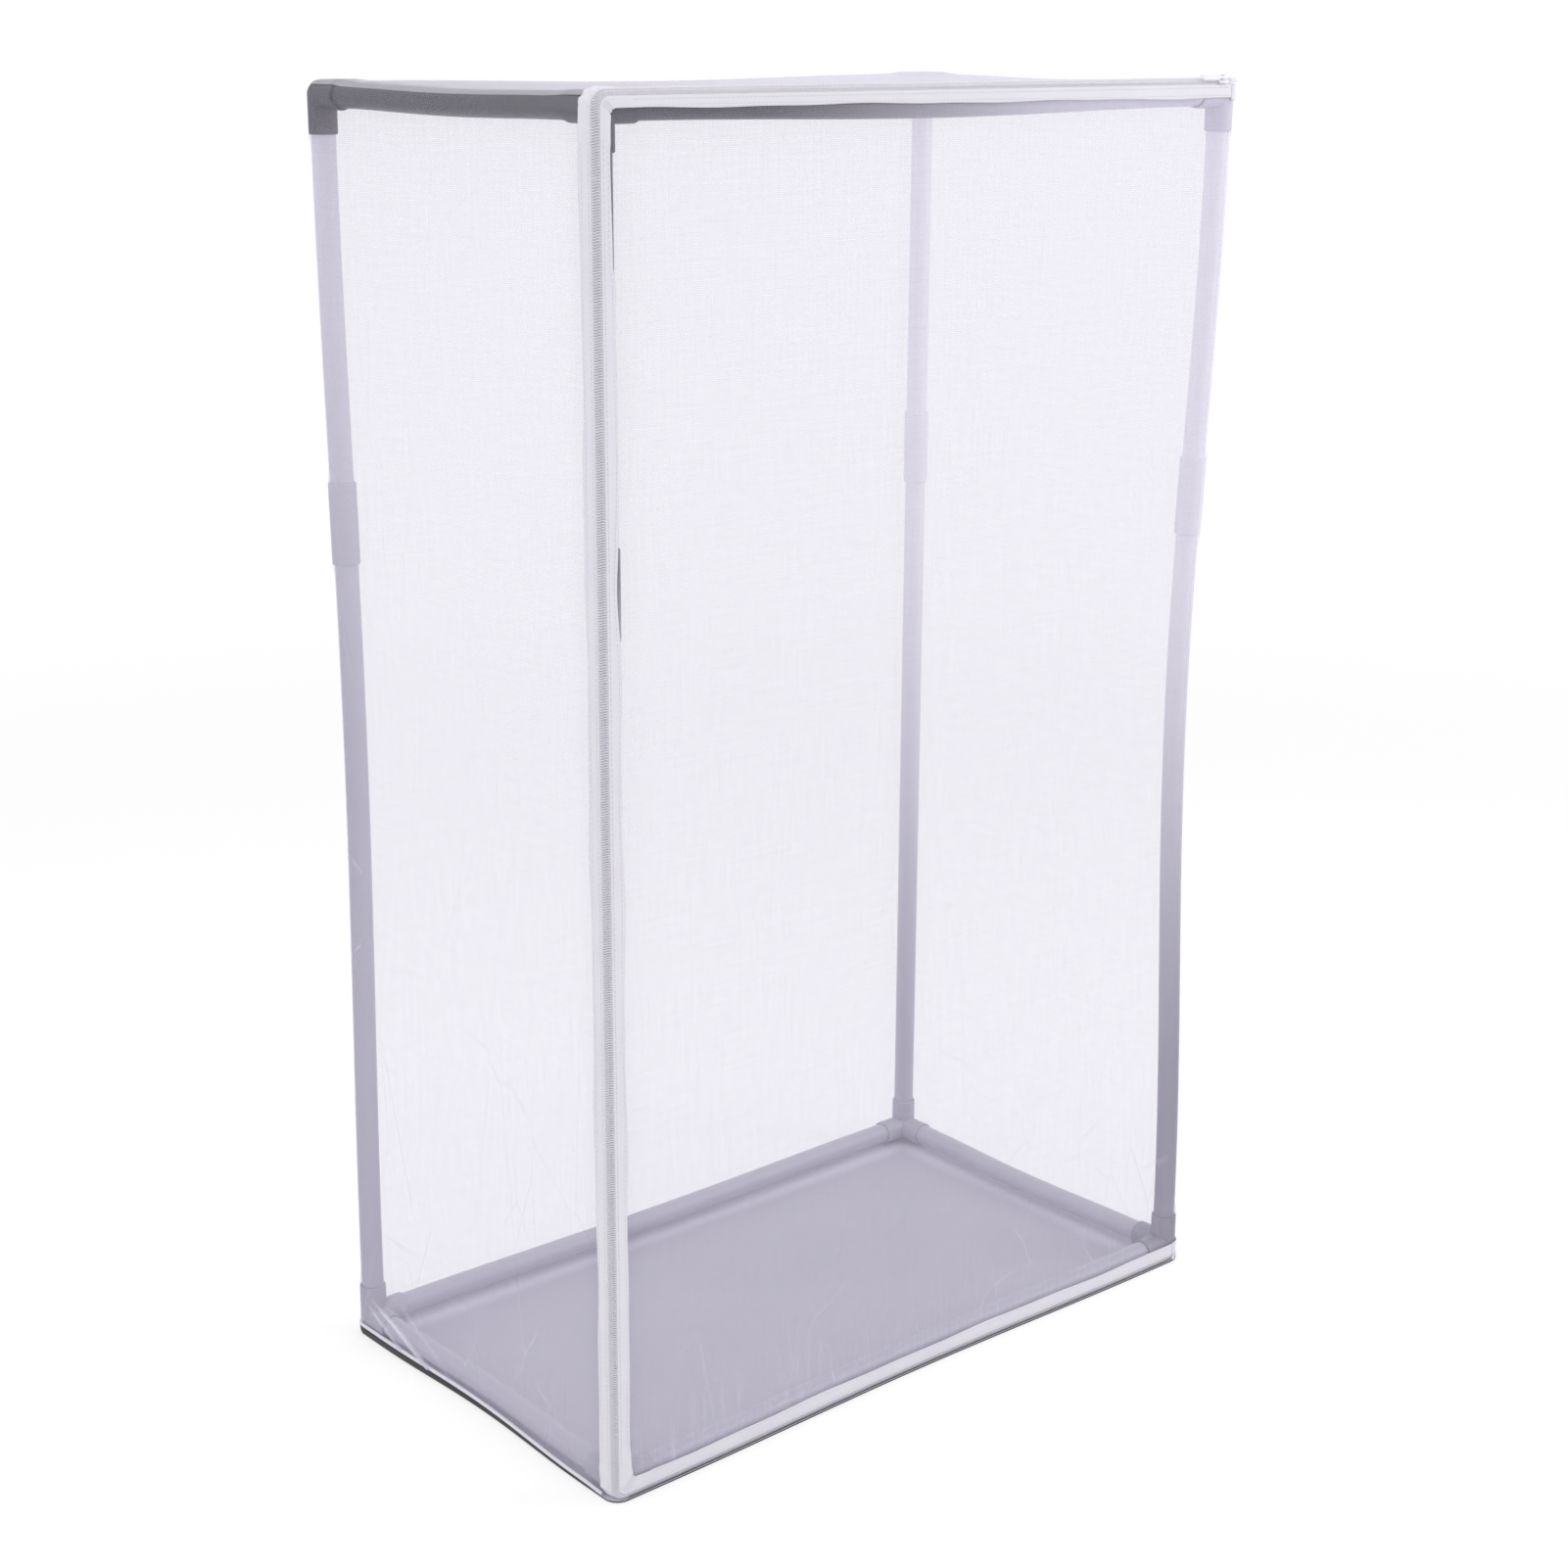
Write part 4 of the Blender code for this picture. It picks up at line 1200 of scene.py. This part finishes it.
# One turn of the nylon coil: X along the tape, Y towards the other coil
def toothMesh():
    back, head, half = -zipper["loopBack"], zipper["loopHead"], zipper["loopHalfHeight"]
    lean, wire = zipper["toothLean"], zipper["wireRadius"]
    outline = [(-lean, back, -half), (0, back - 0.25 * mm, 0), (lean, back, half),
               (lean, (back + head) / 2, half), (lean / 2, head - 0.35 * mm, half), (0, head, 0),
               (-lean / 2, head - 0.35 * mm, -half), (-lean, (back + head) / 2, -half)]
    bm = bmesh.new()
    rings = []
    for number, spot in enumerate(outline):
        before, after = outline[number - 1], outline[(number + 1) % len(outline)]
        ahead = (Vector(after) - Vector(before)).normalized()
        up = ahead.cross(Vector((1, 0, 0))).normalized()
        side = up.cross(ahead)
        rings.append([bm.verts.new(Vector(spot) + wire * (side * math.cos(a) + up * math.sin(a)))
                      for a in spaced(0, 2 * math.pi, zipper["wireFacets"])[:-1]])
    for one, two in zip(rings, rings[1:] + rings[:1]):
        joinRings(bm, one, two)
    bmesh.ops.recalc_face_normals(bm, faces=bm.faces)
    return meshFrom(bm, "tooth")


def stitchMesh():
    half, radius = zipper["stitchLength"] / 2, zipper["stitchRadius"]
    path = [Vector((x, 0, 0)) for x in (-half, -half * 0.7, 0, half * 0.7, half)]
    return meshFrom(roundBar(path, [radius * 0.35, radius, radius, radius, radius * 0.35], 0, 5), "stitch")


# Drawn and moulded nylon: faintly cloudy white, smooth
def makeNylon():
    made, tree, place = newMaterial("drawnZipNylon")
    clouds = noiseOf(tree, place["Object"], zipper["nylonClouds"], 2.0)
    shine = ranged(tree, clouds, target=zipper["nylonRoughness"])
    tint = mixOf(tree, clouds, *zipper["nylonPaint"])
    endIn(tree, surfaceOf(tree, tint, shine, bumpOf(tree, clouds, *zipper["nylonBump"])))
    return made


# Spun sewing thread, with its twist
def makeThread():
    made, tree, place = newMaterial("spunPolyesterThread")
    twist = bandsOf(tree, place["Object"], zipper["threadTwist"], "DIAGONAL")
    tint = mixOf(tree, twist, *zipper["threadPaint"])
    bump = bumpOf(tree, twist, *zipper["threadBump"])
    endIn(tree, surfaceOf(tree, tint, zipper["threadRoughness"], bump, zipper["threadGloss"]))
    return made


nylon = makeNylon()
thread = makeThread()


def makeCoils():
    near, far = zipper["nearInset"], zipper["farInset"]
    slant = math.sqrt(0.5)
    tooth = toothMesh()
    pitch = zipper["toothPitch"]
    for name, node, end, inset, depth, first, way in (
        ("frameCoil", "zip_coil_frame", zipper["frameCoilEnd"], near, far, 0.25, 1),
        ("doorCoil", "zip_coil_door", zipper["doorCoilEnd"], far, near, 0.75, -1),
    ):
        long = zipDistances(end, 1)[-1]
        places = [(first + k) * pitch for k in range(int((long - pitch) / pitch))]
        line = [zipSpot(place, inset, depth, end) for place in places if place < long]
        coil = repeatAlong(name, [line], tooth, nylon, slant * way, -slant * way)
        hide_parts(node)
        if way > 0:
            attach(coil, "frame")
        else:
            followDoor(coil)


def makeStitches(frameLong, doorLong):
    stitch = stitchMesh()
    lift, step, tilt = zipper["stitchLift"], zipper["stitchPitch"], zipper["stitchTilt"]
    rows = [cover["tapeStart"] + row for row in zipper["stitchRows"]]
    frameEnd, doorEnd = zipper["frameTapeEnd"], zipper["doorTapeEnd"]
    framePlaces, doorPlaces = (spaced(step, long - step, int(long / step)) for long in (frameLong, doorLong))
    flat = zipRuns(frameEnd)[0]
    frameLines = [[zipSpot(u, -lift, row, frameEnd) for u in framePlaces if u > flat] for row in rows]
    last = cover["tapeStart"] - zipper["stitchInset"]
    doorLines = [[zipSpot(u, min(row, last + doorTapeWidth(u)), -lift, doorEnd) for u in doorPlaces]
                 for row in rows]
    return (repeatAlong("frameTapeStitches", frameLines, stitch, thread, 0.0, 1.0, tilt),
            repeatAlong("doorTapeStitches", doorLines, stitch, thread, 1.0, 0.0, tilt))


def makeZip():
    (frameTape, frameLong), (doorTape, doorLong) = makeTapes()
    makeCoils()
    frameStitches, doorStitches = makeStitches(frameLong, doorLong)
    for piece in (frameTape, frameStitches):
        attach(piece, "frame")
    for piece in (doorTape, doorStitches):
        followDoor(piece)


hardware = {
    # Each piece's node, the body it rides on and the width of its rounded edges
    "doorStop": ("zip_stop_door", "door", 0.25 * mm),
    "frameStop": ("zip_stop_frame", "frame", 0.25 * mm),
    "baseStop": ("zip_stop_base", "frame", 0.25 * mm),
    "slider": ("zip_slider", "slider", 0.18 * mm),
    "pullTab": ("zip_pull", "pull", 0.18 * mm),
}
rounding = {
    "weld": 0.002 * mm,
    "flatAngle": math.radians(2),
    "edgeAngle": math.radians(35),
    "lastWeld": 0.001 * mm,
    "sharpAngle": math.radians(50),
}


# The stops, the slider and the pull keep their solids' shape, with rounded edges
def makeHardware():
    for name, (node, body, bevel) in hardware.items():
        bm = bmesh.new()
        bm.from_mesh(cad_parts[node].data)
        bmesh.ops.remove_doubles(bm, verts=bm.verts, dist=rounding["weld"])
        bmesh.ops.dissolve_limit(bm, angle_limit=rounding["flatAngle"], verts=bm.verts, edges=bm.edges)
        edges = [edge for edge in bm.edges
                 if edge.is_manifold and edge.calc_face_angle() > rounding["edgeAngle"]]
        bmesh.ops.bevel(bm, geom=edges, offset=bevel, offset_type="OFFSET", segments=2, profile=0.5,
                        affect="EDGES", clamp_overlap=True)
        bmesh.ops.remove_doubles(bm, verts=bm.verts, dist=rounding["lastWeld"])
        mesh = meshFrom(bm, name)
        mesh.shade_smooth()
        mesh.set_sharp_from_angle(angle=rounding["sharpAngle"])
        piece = addPiece(name, mesh, nylon)
        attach(piece, body)
        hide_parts(node)


base = {
    "thickness": 1.2 * mm,
    "rise": 1.4 * mm,
    "leftRise": 6.0 * mm,
    "backRise": 2.4 * mm,
    "riseInset": 30 * mm,
    "riseLength": 28 * mm,
    "frontInset": 8 * mm,
    "edgeRound": 0.9 * mm,
    "rings": (0.02, 0.3, 0.6, 0.8, 0.92, 0.975, 0.993),
    "clothStep": 10 * mm,
    "pipingStep": 6 * mm,
    "pipingGap": 0.3 * mm,
    "pipingRadius": 1.3 * mm,
    "pipingShare": 0.8,
    "pipingFacets": 10,
}


# How high the black cloth is turned up at the edge: most at the left, towards the back
def edgeRise(x, y):
    inset, length = base["riseInset"], base["riseLength"]
    toBack = clamp((y + halfDepth) / cage["depth"])
    left = smooth((-x - halfWidth + inset) / length)
    behind = smooth((y - halfDepth + inset) / length)
    atFront = smooth((y + halfDepth - base["frontInset"]) / inset)
    extra = max(left * (0.25 + 0.75 * smooth(toBack * 1.1)) * (base["leftRise"] - base["rise"]),
                behind * (base["backRise"] - base["rise"]))
    return base["rise"] + extra * atFront


# The cage's outline on the floor, from the right round the back
def baseOutline(step):
    points = []
    reachX, reachY = halfWidth - axisInset, halfDepth - axisInset
    around = ((1, 1), (-1, 1), (-1, -1), (1, -1))
    for number, (cornerX, cornerY) in enumerate(around):
        for share in spaced(0, 1, 8):
            angle = math.radians(90 * number + 90 * share)
            points.append((cornerX * reachX + axisInset * math.cos(angle),
                           cornerY * reachY + axisInset * math.sin(angle)))
        nextX, nextY = around[(number + 1) % len(around)]
        turned = math.radians(90 * number + 90)
        last = points[-1]
        target = (nextX * reachX + axisInset * math.cos(turned),
                  nextY * reachY + axisInset * math.sin(turned))
        count = max(round(math.dist(last, target) / step), 1)
        points += [(last[0] + (target[0] - last[0]) * k / count, last[1] + (target[1] - last[1]) * k / count)
                   for k in range(1, count)]
    return points


# A point on the cloth's turned up edge, rounded in towards the floor
def edgeSpot(x, y, part):
    spot = drawnIn(x, y, 0)
    inward = base["edgeRound"] * (1 - part) ** 2 * 0.8
    if abs(x) > halfWidth - 2 * axisInset:
        spot.x -= math.copysign(min(inward, abs(spot.x)), spot.x)
    if abs(y) > halfDepth - 2 * axisInset:
        spot.y -= math.copysign(min(inward, abs(spot.y)), spot.y)
    spot.z = edgeRise(x, y) * part
    return spot


def makeFloorCloth():
    outline = baseOutline(base["clothStep"])
    rings = [[drawnIn(x * share, y * share, 0) for x, y in outline] for share in base["rings"]]
    for ring in rings:
        for spot in ring:
            spot.z = 0
    rings += [[edgeSpot(x, y, part) for x, y in outline] for part in spaced(0, 1, 4)]
    bm = bmesh.new()
    flat = bm.loops.layers.uv.new("UVMap")
    verts = [[bm.verts.new(spot) for spot in ring] for ring in rings]
    bm.faces.new(verts[0][::-1])
    for inner, outer in zip(verts, verts[1:]):
        joinRings(bm, inner, outer)
    for face in bm.faces:
        for loop in face.loops:
            loop[flat].uv = (loop.vert.co.x, loop.vert.co.y)
    bm.normal_update()
    if sum(face.normal.z * face.calc_area() for face in bm.faces) > 0:
        bmesh.ops.reverse_faces(bm, faces=bm.faces)
    mesh = meshFrom(bm, "floorCloth")
    mesh.shade_smooth()
    cloth = addPiece("floorCloth", mesh, floorFinish)
    thicken(cloth, base["thickness"])
    return dressFrame(cloth, "base_cloth")


# White cord sewn along the seam of the floor and the walls, on three sides
def makePiping():
    start = cover["tapeEnd"] + base["pipingGap"] - halfDepth
    outline = baseOutline(base["pipingStep"])
    first = next(i for i in range(len(outline)) if outline[i][1] >= start > outline[i - 1][1])
    path = [(halfWidth, start)]
    path += [p for p in outline[first:] + outline[:first] if p[1] >= start]
    path += [(-halfWidth, start)]
    radius = base["pipingRadius"]
    end = radius * base["pipingShare"]
    line = []
    for x, y in path:
        inward = Vector((-x / halfWidth if abs(x) > halfWidth - axisInset else 0,
                         -y / halfDepth if abs(y) > halfDepth - axisInset else 0, 0))
        spot = drawnIn(x, y, 0) + inward.normalized() * end
        spot.z = edgeRise(x, y) + radius
        if not line or (spot - line[-1]).length > 0.5 * mm:
            line.append(spot)
    bm = roundBar(line, [end] + [radius] * (len(line) - 2) + [end], 0, base["pipingFacets"])
    mesh = meshFrom(bm, "basePiping")
    mesh.shade_smooth()
    return dressFrame(addPiece("basePiping", mesh, zipTape), "base_piping")


makeZip()
makeHardware()
floorCloth = makeFloorCloth()
basePiping = makePiping()
print("zip, floor and piping ready")
